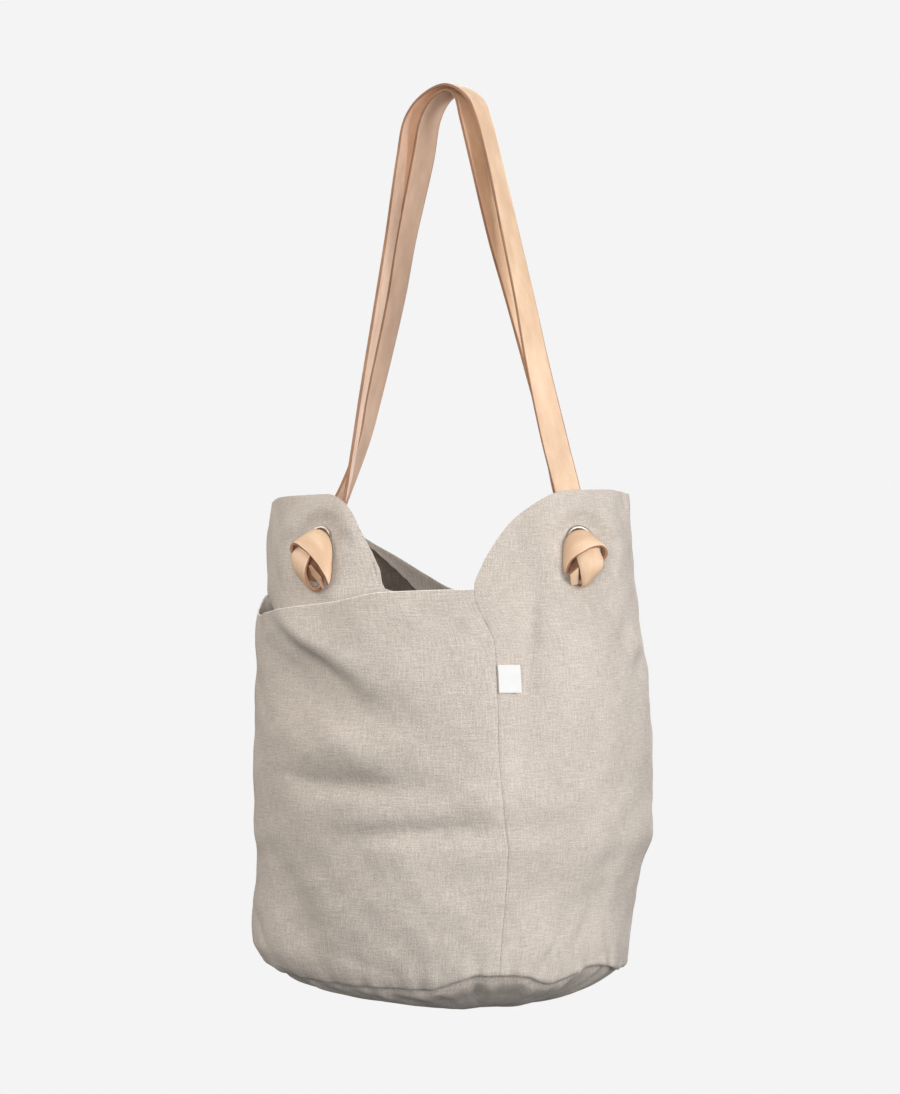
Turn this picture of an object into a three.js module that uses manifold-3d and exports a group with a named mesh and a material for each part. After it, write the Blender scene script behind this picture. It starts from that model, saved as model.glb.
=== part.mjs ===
// Linen bucket bag with two knotted leather straps, hanging from the crown of its straps.
// Millimetres, +Z up. The origin is the hang point under the inner strap's crown.
// X runs from the left ear to the right ear, and the front is towards -Y.
// Angles are degrees round the bag, 0 at the front, 90 at the right ear's fold, -90 at the left ear's fold.
import * as THREE from "three";
import { mergeVertices } from "three/addons/utils/BufferGeometryUtils.js";
import Module from "manifold-3d";

const wasm = await Module();
wasm.setup();

// Driving dimensions of the cloth
const WELD = { solids: 1e-4, joined: 0.02 };
const LINEN = 1.4;
const LAYER_GAP = 0.5;
const SEAM_GAP = 0.9;
const MM_PER_DEGREE = 2.3;
const BACK_TURN = 180;
const FULL_TURN = 360;
const PANEL_ROWS = { lower: 11, upper: 6, pocketTop: 1 };
const ROW_CROWDING = 1.3;
const RIGHT_COLUMNS = 22;
const LEFT_COLUMNS = 28;
const COLUMN_CROWDING = 0.5;
const BELT_HEIGHT = -372;
const RIM_CLEARANCE = 4;
const PROBE = { turn: 1, eyeletTurn: 2, eyeletRise: 6, band: 1e-3 };

// Driving dimensions of the base, the eyelets, the straps and the label
const BASE = { tuck: 1.5, sag: 33, fullness: 2.8, centreX: 22, columns: 38, rings: 5 };
const EYELET = { bore: 8.7, barrel: 9.5, flange: 11.6, plate: 0.8, seat: 0.3, sides: 12 };
const EYELET_CUT = { clearance: 0.3, length: 24, sides: 24 };
const EYELET_FLAT = { full: 30, none: 48, reach: 26, lowest: -384, floor: -362 };
const LEATHER = 2.4;
const STRAP_WIDTH = 20;
const STRAP_STEPS = { along: 2, across: 3 };
const RIM_CROSSING = { rise: 34, wallShare: 0.2 };
const SHOULDER = { rise: 17, inward: 5.5, inwardShare: 0.25, leanShare: 0.33, wallShare: 0.85 };
const LABEL = { width: 15.5, top: -418, height: 19.4, thickness: 0.8, lift: 0.45, curl: 2, columns: 3, rows: 3 };

// Level sections of the outermost cloth: half widths, half depths and how sharply the sides come to a fold
const SECTIONS = [
  { height: -290, left: 139, right: 130, front: 60, back: 58, lens: 1.35 },
  { height: -330, left: 142.5, right: 132, front: 73, back: 71, lens: 1.3 },
  { height: -372, left: 143.5, right: 136, front: 95, back: 91, lens: 1.2 },
  { height: -410, left: 147, right: 141.5, front: 106, back: 102, lens: 1.12 },
  { height: -450, left: 148.5, right: 146, front: 112, back: 108, lens: 1.05 },
  { height: -520, left: 149.2, right: 147.5, front: 117, back: 113, lens: 1 },
  { height: -542, left: 150, right: 147.5, front: 117, back: 113, lens: 1 },
  { height: -562, left: 146.5, right: 141.5, front: 116, back: 112, lens: 1 },
  { height: -582, left: 148, right: 136, front: 114, back: 110, lens: 1 },
  { height: -602, left: 151, right: 132.5, front: 111, back: 108, lens: 0.98 },
  { height: -626, left: 149.5, right: 129.5, front: 106, back: 103, lens: 0.95 },
  { height: -638, left: 143, right: 127, front: 101, back: 98, lens: 0.95 },
  { height: -650, left: 131, right: 121, front: 93, back: 91, lens: 0.95 },
];

// Angle of the front seam at each height; the back seam is its mirror image
const SEAM = [
  { height: -290, angle: 12.5 },
  { height: -366, angle: 13 },
  { height: -407, angle: 19.5 },
  { height: -484, angle: 20.5 },
  { height: -582, angle: 24 },
  { height: -650, angle: 23 },
];

// Puckered height of the seam between walls and base
const BASE_SEAM = [
  { angle: -180, height: -643 },
  { angle: -140, height: -639 },
  { angle: -90, height: -640 },
  { angle: -50, height: -646 },
  { angle: -8, height: -647 },
  { angle: 8, height: -636 },
  { angle: 23, height: -637 },
  { angle: 34, height: -644 },
  { angle: 58, height: -634 },
  { angle: 85, height: -643 },
  { angle: 130, height: -638 },
  { angle: 180, height: -643 },
];

// How far the base's edge lies inside the outermost cloth: one layer on the right, two on the left
const BASE_INSET = [
  { angle: -180, inset: 4.6 },
  { angle: 18, inset: 4.6 },
  { angle: 30, inset: 2.9 },
  { angle: 150, inset: 2.9 },
  { angle: 162, inset: 4.6 },
  { angle: 180, inset: 4.6 },
];

// Top edge of the right panel from the front seam to the fold; the back half mirrors it
const RIGHT_RIM = [
  { angle: 12.5, height: -366 },
  { angle: 14, height: -357 },
  { angle: 16.6, height: -343 },
  { angle: 20.6, height: -328 },
  { angle: 24.8, height: -316.5 },
  { angle: 28.9, height: -309 },
  { angle: 33.5, height: -302.6 },
  { angle: 39, height: -297.3 },
  { angle: 47.5, height: -295 },
  { angle: 60, height: -294 },
  { angle: 90, height: -297 },
];

// Top edge of the left panel, all the way from the back seam to the front seam
const LEFT_RIM = [
  { angle: -195, height: -368 },
  { angle: -184, height: -374 },
  { angle: -174, height: -368 },
  { angle: -166, height: -357 },
  { angle: -157, height: -343 },
  { angle: -147, height: -329 },
  { angle: -138, height: -311 },
  { angle: -126, height: -301 },
  { angle: -90, height: -303 },
  { angle: -70, height: -299 },
  { angle: -38, height: -297.5 },
  { angle: -34.5, height: -299 },
  { angle: -31, height: -302.8 },
  { angle: -27, height: -310.5 },
  { angle: -24, height: -319.5 },
  { angle: -22, height: -330 },
  { angle: -20.5, height: -343 },
  { angle: -19, height: -357 },
  { angle: -17.8, height: -365.3 },
  { angle: -10, height: -369 },
  { angle: 15, height: -367 },
];

// Top edge of the pocket, which sags at the left side
const POCKET_RIM = [
  { angle: -195, height: -368 },
  { angle: -120, height: -371 },
  { angle: -100, height: -371 },
  { angle: -88, height: -380 },
  { angle: -76, height: -386 },
  { angle: -62, height: -383.5 },
  { angle: -50, height: -380 },
  { angle: -31, height: -375 },
  { angle: -13, height: -367.5 },
  { angle: 15, height: -365.5 },
];

// How far the slack top of the left panel falls inwards behind the pocket
const SLACK = [
  { angle: -195, inward: 0 },
  { angle: -184, inward: 8 },
  { angle: -170, inward: 8 },
  { angle: -150, inward: 0 },
  { angle: -44, inward: 0 },
  { angle: -34, inward: 0 },
  { angle: -26, inward: 8 },
  { angle: -16, inward: 22 },
  { angle: -4, inward: 26 },
  { angle: 8, inward: 14 },
  { angle: 15, inward: 0 },
];
const SLACK_BAND = { none: -450, full: -372 };

// Dent of the left panel behind the pocket's left corner: its place, its half breadths and its depth
const EAR_TUCK = { angle: -88, turn: 18, height: -388, above: 11, below: 28, depth: 11 };

// How far the pocket's mouth stands away from the panel behind it
const POCKET_FLARE = [
  { angle: -195, outward: 0 },
  { angle: -120, outward: 3 },
  { angle: -95, outward: 5 },
  { angle: -70, outward: 4 },
  { angle: -45, outward: 3 },
  { angle: -25, outward: 1.5 },
  { angle: 15, outward: 0 },
];
const POCKET_FLARE_BAND = { none: -412, full: -376 };

// Folds and dents of the cloth: place, half length, half breadth, slope of the fold line, and depth (minus is in)
const FOLDS = [
  { angle: -35, height: -405, along: 48, across: 12, slope: -31, depth: 4 },
  { angle: -43, height: -430, along: 46, across: 13, slope: -31, depth: -10 },
  { angle: -19, height: -447, along: 28, across: 18, slope: -10, depth: -5 },
  { angle: -22, height: -475, along: 46, across: 15, slope: 0, depth: 3 },
  { angle: -22, height: -504, along: 44, across: 11, slope: 0, depth: -5.5 },
  { angle: 5, height: -516, along: 62, across: 13, slope: 5, depth: 2 },
  { angle: 2, height: -537, along: 56, across: 9, slope: 4, depth: -4.5 },
  { angle: 4, height: -554, along: 60, across: 12, slope: 4, depth: 1 },
  { angle: 29, height: -420, along: 62, across: 14, slope: 86, depth: -5 },
  { angle: 72, height: -396, along: 15, across: 9, slope: 20, depth: -3 },
  { angle: 80, height: -420, along: 15, across: 9, slope: 20, depth: -3 },
  { angle: -42, height: -598, along: 34, across: 15, slope: -55, depth: -7 },
  { angle: 58, height: -592, along: 46, across: 14, slope: 80, depth: -3.5 },
  { angle: 150, height: -470, along: 60, across: 20, slope: 25, depth: -5 },
  { angle: -155, height: -440, along: 56, across: 18, slope: -28, depth: -5 },
  { angle: -172, height: -560, along: 60, across: 13, slope: 4, depth: -5 },
  { angle: 118, height: -575, along: 46, across: 15, slope: 70, depth: -4 },
];

// Eyelets: place on the ear, and how the strap leans sideways and inwards where it crosses the ear's top
const EYELETS = {
  front_right: { angle: 49, height: -331, lean: 1.5, inward: 10 },
  front_left: { angle: -40, height: -331, lean: -2, inward: 20 },
  back_right: { angle: 131, height: -331, lean: 10.5, inward: 18 },
  back_left: { angle: -128, height: -331, lean: -10, inward: 12 },
};

// Middle line of each strap from the left ear over the crown to the right ear; turn is the plan angle of its width
const STRAPS = {
  front: [
    { x: -68.4, y: -28, z: -257, turn: -4 },
    { x: -65.2, y: -22, z: -227, turn: -5 },
    { x: -56, y: -9, z: -152, turn: -7 },
    { x: -50.5, y: -1, z: -107, turn: -4 },
    { x: -40, y: 10, z: -46, turn: 14 },
    { x: -33, y: 15, z: -16, turn: 32 },
    { x: -22, y: 14, z: -1, turn: 33 },
    { x: 0, y: 0, z: 5.9, turn: 34 },
    { x: 18, y: -12, z: -6, turn: 30 },
    { x: 25, y: -15, z: -22, turn: 27 },
    { x: 33, y: -17, z: -52, turn: 26 },
    { x: 46.5, y: -20, z: -111, turn: 33 },
    { x: 56.5, y: -23, z: -155, turn: 39 },
    { x: 66, y: -27, z: -200, turn: 50 },
    { x: 80, y: -32, z: -258, turn: 68 },
  ],
  back: [
    { x: -75, y: 37, z: -254, turn: 13 },
    { x: -67.5, y: 34, z: -224, turn: 22 },
    { x: -49, y: 27, z: -149, turn: 30 },
    { x: -40, y: 21, z: -105, turn: 35 },
    { x: -26, y: 15, z: -46, turn: 43 },
    { x: -17, y: 11, z: -16, turn: 39 },
    { x: -9, y: 6, z: -2.5, turn: 35 },
    { x: 0, y: 0, z: 1.2, turn: 34 },
    { x: 7.2, y: -5.1, z: -3.6, turn: 31 },
    { x: 13, y: -9, z: -21, turn: 31 },
    { x: 20.5, y: -10, z: -51, turn: 33 },
    { x: 33, y: -3, z: -109, turn: 30 },
    { x: 42, y: 7, z: -153, turn: 22 },
    { x: 50.5, y: 18, z: -196, turn: 10 },
    { x: 64, y: 28, z: -255, turn: -8 },
  ],
};

// Strap end in its eyelet's own axes: across to the right, up the wall and out of it, for both edges and the middle.
// The first rows curl through the bore, and the rest fall over the ring and wrap round the lower left of the knot.
const HOOD_ROWS = [
  { left: [-8.6, 4.5, -7.2], middle: [0, 9.5, -6], right: [8.6, 4.5, -7.2] },
  { left: [-6.7, -2, -2.4], middle: [0, 6, -2.6], right: [6.7, -2, -2.4] },
  { left: [-6.7, -2, 2.2], middle: [0, 6, 2.4], right: [6.7, -2, 2.2] },
  { left: [-9.5, -3.5, 4.6], middle: [0, 5.2, 7], right: [11.5, 0, 4.6] },
  { left: [-11, -6.5, 4.8], middle: [2, 3.5, 9.5], right: [15, -8, 5.2] },
  { left: [-11.8, -10, 4.8], middle: [4, 0.5, 12.5], right: [18, -5, 9] },
  { left: [-12.3, -14, 4.8], middle: [0.5, -3.5, 14.5], right: [13, -3, 13.5] },
  { left: [-12.4, -18, 4.8], middle: [-5, -9.5, 13.8], right: [3, -6.8, 15.5] },
  { left: [-12, -21.5, 4.6], middle: [-9.8, -15, 11.5], right: [-5.5, -11.5, 14.8] },
  { left: [-10.2, -24.6, 5], middle: [-11.6, -19.8, 8.6], right: [-9.8, -17, 12.6] },
];

// The second turn of the knot, from under the hood down over its front and back up behind
const ROLL_ROWS = [
  { left: [-1, -3, 8], middle: [6, -2, 9.5], right: [13.5, -3, 6] },
  { left: [-3.5, -11, 11], middle: [6, -8.5, 14.5], right: [15.5, -9, 9] },
  { left: [-2.5, -18, 12.2], middle: [6.5, -16.5, 16], right: [16.3, -15.5, 9.5] },
  { left: [-0.5, -24, 11], middle: [6, -24, 14.3], right: [14.3, -22.5, 9] },
  { left: [1.5, -28.5, 7.5], middle: [5.5, -30, 9], right: [11, -28, 7] },
  { left: [1, -26.5, 4.2], middle: [6, -27.5, 4], right: [12, -25.5, 4] },
  { left: [-1, -18, 3.8], middle: [6, -18, 3.8], right: [13, -16, 3.8] },
];

// The cut end that sticks out below the hood
const TAIL_ROWS = [
  { left: [-9, -15, 6], middle: [-5, -17, 8.5], right: [-1, -17, 10.5] },
  { left: [-10, -24, 8.5], middle: [-6, -25, 11], right: [-1.5, -24.5, 12.5] },
  { left: [-9.6, -30.2, 9.5], middle: [-5.8, -31.2, 11.5], right: [-2, -30.6, 13] },
];

const LINEN_MATERIAL = new THREE.MeshStandardMaterial({ color: 0xcdc4b8, roughness: 0.95, metalness: 0 });
const LEATHER_MATERIAL = new THREE.MeshStandardMaterial({ color: 0xe3b98e, roughness: 0.55, metalness: 0 });
const METAL_MATERIAL = new THREE.MeshStandardMaterial({ color: 0xb8babd, roughness: 0.25, metalness: 1 });
const LABEL_MATERIAL = new THREE.MeshStandardMaterial({ color: 0xf3f2ef, roughness: 0.9, metalness: 0 });

// Smooth reading of a table between its rows, for every column, without overshoot
function readTable(table, key, place) {
  const rising = table[0][key] < table[table.length - 1][key];
  const before = (row) => (rising ? row[key] <= place : row[key] >= place);
  const found = table.findLastIndex(before);
  const low = THREE.MathUtils.clamp(found, 0, table.length - 2);
  const span = table[low + 1][key] - table[low][key];
  const t = THREE.MathUtils.clamp((place - table[low][key]) / span, 0, 1);
  const slope = (row, column) => {
    if (row < 1 || row > table.length - 2) {
      return 0;
    }
    const left = (table[row][column] - table[row - 1][column]) / (table[row][key] - table[row - 1][key]);
    const right = (table[row + 1][column] - table[row][column]) / (table[row + 1][key] - table[row][key]);
    return left * right > 0 ? (2 * left * right) / (left + right) : 0;
  };
  const result = {};
  for (const column of Object.keys(table[0])) {
    const start = table[low][column];
    const end = table[low + 1][column];
    const startSlope = slope(low, column) * span;
    const endSlope = slope(low + 1, column) * span;
    const rise = t * t * (3 - 2 * t);
    result[column] = start + (end - start) * rise + startSlope * t * (1 - t) ** 2 - endSlope * t * t * (1 - t);
  }
  return result;
}

const noRelief = () => 0;
const wrapTurn = (angle) => THREE.MathUtils.euclideanModulo(angle + BACK_TURN, FULL_TURN) - BACK_TURN;

// Level outline of the outermost cloth, without folds
function outlinePoint(angle, height) {
  const section = readTable(SECTIONS, "height", height);
  const sideways = Math.sin(THREE.MathUtils.degToRad(angle));
  const facing = Math.cos(THREE.MathUtils.degToRad(angle));
  const width = sideways < 0 ? section.left : section.right;
  const depth = facing > 0 ? section.front : section.back;
  return new THREE.Vector2(width * sideways, -Math.sign(facing) * depth * Math.abs(facing) ** section.lens);
}

// Level direction out of the cloth
function outwardAt(angle, height) {
  const along = outlinePoint(angle + PROBE.turn, height).sub(outlinePoint(angle - PROBE.turn, height));
  return new THREE.Vector2(along.y, -along.x).normalize();
}

// Sum of the folds at a place
function foldDepth(angle, height) {
  let depth = 0;
  for (const fold of FOLDS) {
    const offset = new THREE.Vector2(wrapTurn(angle - fold.angle) * MM_PER_DEGREE, height - fold.height);
    offset.rotateAround(new THREE.Vector2(), -THREE.MathUtils.degToRad(fold.slope));
    depth += fold.depth * Math.exp(-((offset.x / fold.along) ** 2) - (offset.y / fold.across) ** 2);
  }
  return depth;
}

// Point of a cloth layer that lies inset from the outermost cloth and has its own relief
function clothPoint(angle, height, inset, relief = noRelief) {
  const level = outlinePoint(angle, height);
  const shift = foldDepth(angle, height) + relief(angle, height) - inset;
  level.addScaledVector(outwardAt(angle, height), shift);
  return new THREE.Vector3(level.x, level.y, height);
}

const seamAngle = (height) => readTable(SEAM, "height", height).angle;
const baseSeamHeight = (angle) => readTable(BASE_SEAM, "angle", wrapTurn(angle)).height;
const rightRim = (angle) => readTable(RIGHT_RIM, "angle", Math.min(angle, BACK_TURN - angle)).height;
const leftRim = (angle) => readTable(LEFT_RIM, "angle", angle).height;
const pocketRim = (angle) => readTable(POCKET_RIM, "angle", angle).height;
const rightBelt = () => BELT_HEIGHT;
const leftBelt = (angle) => Math.min(pocketRim(angle), leftRim(angle)) - RIM_CLEARANCE;

// Inward fall of the left panel's slack top, and its dent behind the pocket's corner
function leftRelief(angle, height) {
  const share = THREE.MathUtils.smoothstep(height, SLACK_BAND.none, SLACK_BAND.full);
  const turn = (angle - EAR_TUCK.angle) / EAR_TUCK.turn;
  const rise = height - EAR_TUCK.height;
  const reach = rise > 0 ? EAR_TUCK.above : EAR_TUCK.below;
  const tuck = EAR_TUCK.depth * Math.exp(-(turn ** 2) - (rise / reach) ** 2);
  return -readTable(SLACK, "angle", angle).inward * share - tuck;
}

// Outward stand of the pocket's mouth
function pocketRelief(angle, height) {
  const share = THREE.MathUtils.smoothstep(height, POCKET_FLARE_BAND.none, POCKET_FLARE_BAND.full);
  return readTable(POCKET_FLARE, "angle", angle).outward * share;
}

// The three upright cloth pieces: how deep each lies, its edges, where its rows split, and its side, 1 for the right
const RIGHT_PANEL = { inset: 0, relief: noRelief, rim: rightRim, belt: rightBelt, side: 1, columns: RIGHT_COLUMNS };
const LEFT_PANEL = {
  inset: LINEN + LAYER_GAP,
  relief: leftRelief,
  rim: leftRim,
  belt: leftBelt,
  side: -1,
  columns: LEFT_COLUMNS,
};
const POCKET = { inset: 0, relief: pocketRelief, rim: pocketRim, belt: leftBelt, side: -1, columns: LEFT_COLUMNS };

// Own axes of an eyelet: its centre in the middle of the wall, to the right, up the wall and out of it
function eyeletAxes({ angle, height }) {
  const panel = angle > 0 ? RIGHT_PANEL : LEFT_PANEL;
  const middle = (a, h) => clothPoint(a, h, panel.inset + LINEN / 2, panel.relief);
  const { eyeletTurn, eyeletRise } = PROBE;
  const right = middle(angle + eyeletTurn, height).sub(middle(angle - eyeletTurn, height)).normalize();
  const rise = middle(angle, height + eyeletRise).sub(middle(angle, height - eyeletRise)).normalize();
  const out = right.clone().cross(rise).normalize();
  return { centre: middle(angle, height), right, up: out.clone().cross(right), out, panel };
}

const AXES = Object.fromEntries(Object.entries(EYELETS).map(([name, place]) => [name, eyeletAxes(place)]));

// Place in an eyelet's own axes; mirror swaps its right and left
function fromEyelet(axes, [across, up, out], mirror = 1) {
  return axes.centre
    .clone()
    .addScaledVector(axes.right, across * mirror)
    .addScaledVector(axes.up, up)
    .addScaledVector(axes.out, out);
}

// Flattens a panel's wall round its eyelets; side is 1 for its outer face and -1 for its inner face
function seatEyelets(point, panel, side) {
  for (const axes of Object.values(AXES)) {
    const offset = point.clone().sub(axes.centre);
    const depth = offset.dot(axes.out);
    const spread = Math.sqrt(Math.max(offset.lengthSq() - depth * depth, 0));
    if (axes.panel === panel && Math.abs(depth) < EYELET_FLAT.reach) {
      const near = 1 - THREE.MathUtils.smoothstep(spread, EYELET_FLAT.full, EYELET_FLAT.none);
      const above = THREE.MathUtils.smoothstep(point.z, EYELET_FLAT.lowest, EYELET_FLAT.floor);
      point.addScaledVector(axes.out, ((side * LINEN) / 2 - depth) * near * above);
    }
  }
  return point;
}

// Closed sheet from a function of two shares and a side, 1 for its front face and -1 for its back face
function sheetGeometry(columns, rows, pointAt) {
  const positions = [];
  for (const side of [1, -1]) {
    for (let i = 0; i <= columns; i++) {
      for (let j = 0; j <= rows; j++) {
        positions.push(...pointAt(i / columns, j / rows, side));
      }
    }
  }
  const front = (i, j) => i * (rows + 1) + j;
  const back = (i, j) => front(i, j) + (columns + 1) * (rows + 1);
  const triangles = [];
  const quad = (a, b, c, d) => triangles.push(a, b, c, a, c, d);
  for (let i = 0; i < columns; i++) {
    for (let j = 0; j < rows; j++) {
      quad(front(i, j), front(i + 1, j), front(i + 1, j + 1), front(i, j + 1));
      quad(back(i, j), back(i, j + 1), back(i + 1, j + 1), back(i + 1, j));
    }
    quad(front(i + 1, 0), front(i, 0), back(i, 0), back(i + 1, 0));
    quad(front(i, rows), front(i + 1, rows), back(i + 1, rows), back(i, rows));
  }
  for (let j = 0; j < rows; j++) {
    quad(front(0, j), front(0, j + 1), back(0, j + 1), back(0, j));
    quad(front(columns, j + 1), front(columns, j), back(columns, j), back(columns, j + 1));
  }
  return geometryFrom(positions, triangles);
}

function geometryFrom(positions, triangles) {
  const geometry = new THREE.BufferGeometry();
  geometry.setAttribute("position", new THREE.Float32BufferAttribute(positions, 3));
  geometry.setIndex(triangles);
  return geometry;
}

// Closed mesh as a solid that can be joined and cut
function solidFrom(geometry) {
  const bare = geometry.clone();
  bare.deleteAttribute("normal");
  bare.deleteAttribute("uv");
  const merged = mergeVertices(bare, WELD.solids);
  const vertProperties = new Float32Array(merged.getAttribute("position").array);
  const triVerts = new Uint32Array(merged.getIndex().array);
  return new wasm.Manifold(new wasm.Mesh({ numProp: 3, vertProperties, triVerts }));
}

// Mesh of a joined or cut solid, with corners closer than the weld made one and the slivers between them dropped
function geometryOf(solid) {
  const { vertProperties, triVerts } = solid.getMesh();
  const welded = mergeVertices(geometryFrom(Array.from(vertProperties), Array.from(triVerts)), WELD.joined);
  const corners = welded.getIndex().array;
  const kept = [];
  for (let i = 0; i < corners.length; i += 3) {
    const [a, b, c] = corners.slice(i, i + 3);
    if (a !== b && b !== c && c !== a) {
      kept.push(a, b, c);
    }
  }
  welded.setIndex(kept);
  return welded;
}

// Share of the turn with columns crowded towards both seams
const crowded = (share) => share - (COLUMN_CROWDING * Math.sin(2 * Math.PI * share)) / (2 * Math.PI);

// Angle and height of a grid place on an upright piece of cloth, between its seams, its base seam and its rim
function panelPlace(panel, share, row, lowerRows, upperRows) {
  const gap = SEAM_GAP / 2 / MM_PER_DEGREE;
  const turnAt = (height) => {
    const front = seamAngle(height);
    const start = panel.side > 0 ? front + gap : -BACK_TURN - front + gap;
    const end = panel.side > 0 ? BACK_TURN - front - gap : front - gap;
    return THREE.MathUtils.lerp(start, end, crowded(share));
  };
  const nominal = turnAt(BELT_HEIGHT);
  const bottom = baseSeamHeight(nominal);
  const rim = panel.rim(nominal);
  const belt = panel.belt(nominal);
  const lower = THREE.MathUtils.lerp(bottom, belt, Math.min(row / lowerRows, 1) ** ROW_CROWDING);
  const height = row <= lowerRows ? lower : THREE.MathUtils.lerp(belt, rim, (row - lowerRows) / upperRows);
  return { angle: turnAt(height), height };
}

function panelGeometry(panel, lowerRows, upperRows) {
  const rows = lowerRows + upperRows;
  return sheetGeometry(panel.columns, rows, (share, level, side) => {
    const { angle, height } = panelPlace(panel, share, Math.round(level * rows), lowerRows, upperRows);
    const inset = panel.inset + (side > 0 ? 0 : LINEN);
    return seatEyelets(clothPoint(angle, height, inset, panel.relief), panel, side);
  });
}

// Panel with its eyelet holes cut
function cutPanel(panel) {
  let solid = solidFrom(panelGeometry(panel, PANEL_ROWS.lower, PANEL_ROWS.upper));
  const radius = EYELET.barrel + EYELET_CUT.clearance;
  for (const axes of Object.values(AXES).filter((each) => each.panel === panel)) {
    const cutter = new THREE.CylinderGeometry(radius, radius, EYELET_CUT.length, EYELET_CUT.sides);
    cutter.applyQuaternion(new THREE.Quaternion().setFromUnitVectors(new THREE.Vector3(0, 1, 0), axes.out));
    cutter.translate(...axes.centre);
    solid = solid.subtract(solidFrom(cutter));
  }
  return geometryOf(solid);
}

// Sagging oval base whose edge is tucked inside the walls
function baseGeometry() {
  const { columns, rings } = BASE;
  const middle = new THREE.Vector2(BASE.centreX, 0);
  const meanSeam = BASE_SEAM.reduce((sum, row) => sum + row.height, 0) / BASE_SEAM.length;
  const pointAt = (column, ring, side) => {
    const angle = (FULL_TURN * column) / columns;
    const share = ring / rings;
    const edgeHeight = baseSeamHeight(angle) + BASE.tuck;
    const inset = readTable(BASE_INSET, "angle", wrapTurn(angle)).inset;
    const edge = clothPoint(angle, edgeHeight, inset);
    const level = new THREE.Vector2(edge.x, edge.y).sub(middle).multiplyScalar(share).add(middle);
    const rest = THREE.MathUtils.lerp(meanSeam + BASE.tuck, edgeHeight, share * share);
    const sag = BASE.sag * (1 - share ** BASE.fullness);
    return [level.x, level.y, rest - sag + (side > 0 ? 0 : LINEN)];
  };
  const positions = [];
  const triangles = [];
  const faceSize = 1 + rings * columns;
  for (const side of [1, -1]) {
    positions.push(...pointAt(0, 0, side));
    for (let ring = 1; ring <= rings; ring++) {
      for (let column = 0; column < columns; column++) {
        positions.push(...pointAt(column, ring, side));
      }
    }
  }
  const under = (column, ring) => (ring ? 1 + (ring - 1) * columns + (column % columns) : 0);
  const upper = (column, ring) => under(column, ring) + faceSize;
  for (let column = 0; column < columns; column++) {
    const next = column + 1;
    triangles.push(0, under(next, 1), under(column, 1), faceSize, upper(column, 1), upper(next, 1));
    for (let ring = 1; ring < rings; ring++) {
      const out = ring + 1;
      triangles.push(under(column, ring), under(next, ring), under(next, out));
      triangles.push(under(column, ring), under(next, out), under(column, out));
      triangles.push(upper(column, ring), upper(next, out), upper(next, ring));
      triangles.push(upper(column, ring), upper(column, out), upper(next, out));
    }
    triangles.push(under(column, rings), under(next, rings), upper(next, rings));
    triangles.push(under(column, rings), upper(next, rings), upper(column, rings));
  }
  return geometryFrom(positions, triangles);
}

// Flanged ring of an eyelet, turned about Y
function eyeletGeometry() {
  const half = LINEN / 2 + EYELET.seat + EYELET.plate;
  const groove = half - EYELET.plate;
  const profile = [
    [EYELET.bore, -half],
    [EYELET.flange, -half],
    [EYELET.flange, -groove],
    [EYELET.barrel, -groove],
    [EYELET.barrel, groove],
    [EYELET.flange, groove],
    [EYELET.flange, half],
    [EYELET.bore, half],
    [EYELET.bore, -half],
  ];
  const points = profile.map(([radius, along]) => new THREE.Vector2(radius, along));
  return new THREE.LatheGeometry(points, EYELET.sides);
}

// Leather band through rows of left, middle and right points
function bandGeometry(rows) {
  const lines = ["left", "middle", "right"].map((edge) => new THREE.CatmullRomCurve3(rows.map((row) => row[edge])));
  const middleAt = (run, across) => {
    const [left, middle, right] = lines.map((line) => line.getPoint(run));
    return left
      .multiplyScalar((1 - across) * (1 - 2 * across))
      .addScaledVector(middle, 4 * across * (1 - across))
      .addScaledVector(right, across * (2 * across - 1));
  };
  return sheetGeometry((rows.length - 1) * STRAP_STEPS.along, STRAP_STEPS.across, (run, across, side) => {
    const start = Math.max(run - PROBE.band, 0);
    const end = Math.min(run + PROBE.band, 1);
    const forward = middleAt(end, across).sub(middleAt(start, across));
    const sideways = middleAt(run, across + PROBE.band).sub(middleAt(run, across - PROBE.band));
    const normal = forward.cross(sideways).normalize();
    return middleAt(run, across).addScaledVector(normal, (side * LEATHER) / 2);
  });
}

// Row of a strap with a straight section
function flatRow(centre, widthways) {
  return {
    left: centre.clone().addScaledVector(widthways, -STRAP_WIDTH / 2),
    middle: centre.clone(),
    right: centre.clone().addScaledVector(widthways, STRAP_WIDTH / 2),
  };
}

// Rows given in an eyelet's axes, as places on the bag
function knotRows(table, axes, mirror) {
  return table.map((row) => ({
    left: fromEyelet(axes, row.left, mirror),
    middle: fromEyelet(axes, row.middle, mirror),
    right: fromEyelet(axes, row.right, mirror),
  }));
}

// Rows of a strap's end, from where it crosses the ear's top, down inside the wall and out through the eyelet
function strapEndRows(place, axes, mirror, legWidthways) {
  const wallWidthways = axes.right.clone().multiplyScalar(mirror);
  const rimCentre = fromEyelet(axes, [place.lean, RIM_CROSSING.rise, -place.inward]);
  const shoulderInward = SHOULDER.inward + place.inward * SHOULDER.inwardShare;
  const shoulderCentre = fromEyelet(axes, [place.lean * SHOULDER.leanShare, SHOULDER.rise, -shoulderInward]);
  return [
    flatRow(rimCentre, legWidthways.clone().lerp(wallWidthways, RIM_CROSSING.wallShare).normalize()),
    flatRow(shoulderCentre, legWidthways.clone().lerp(wallWidthways, SHOULDER.wallShare).normalize()),
    ...knotRows(HOOD_ROWS, axes, mirror),
  ];
}

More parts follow.
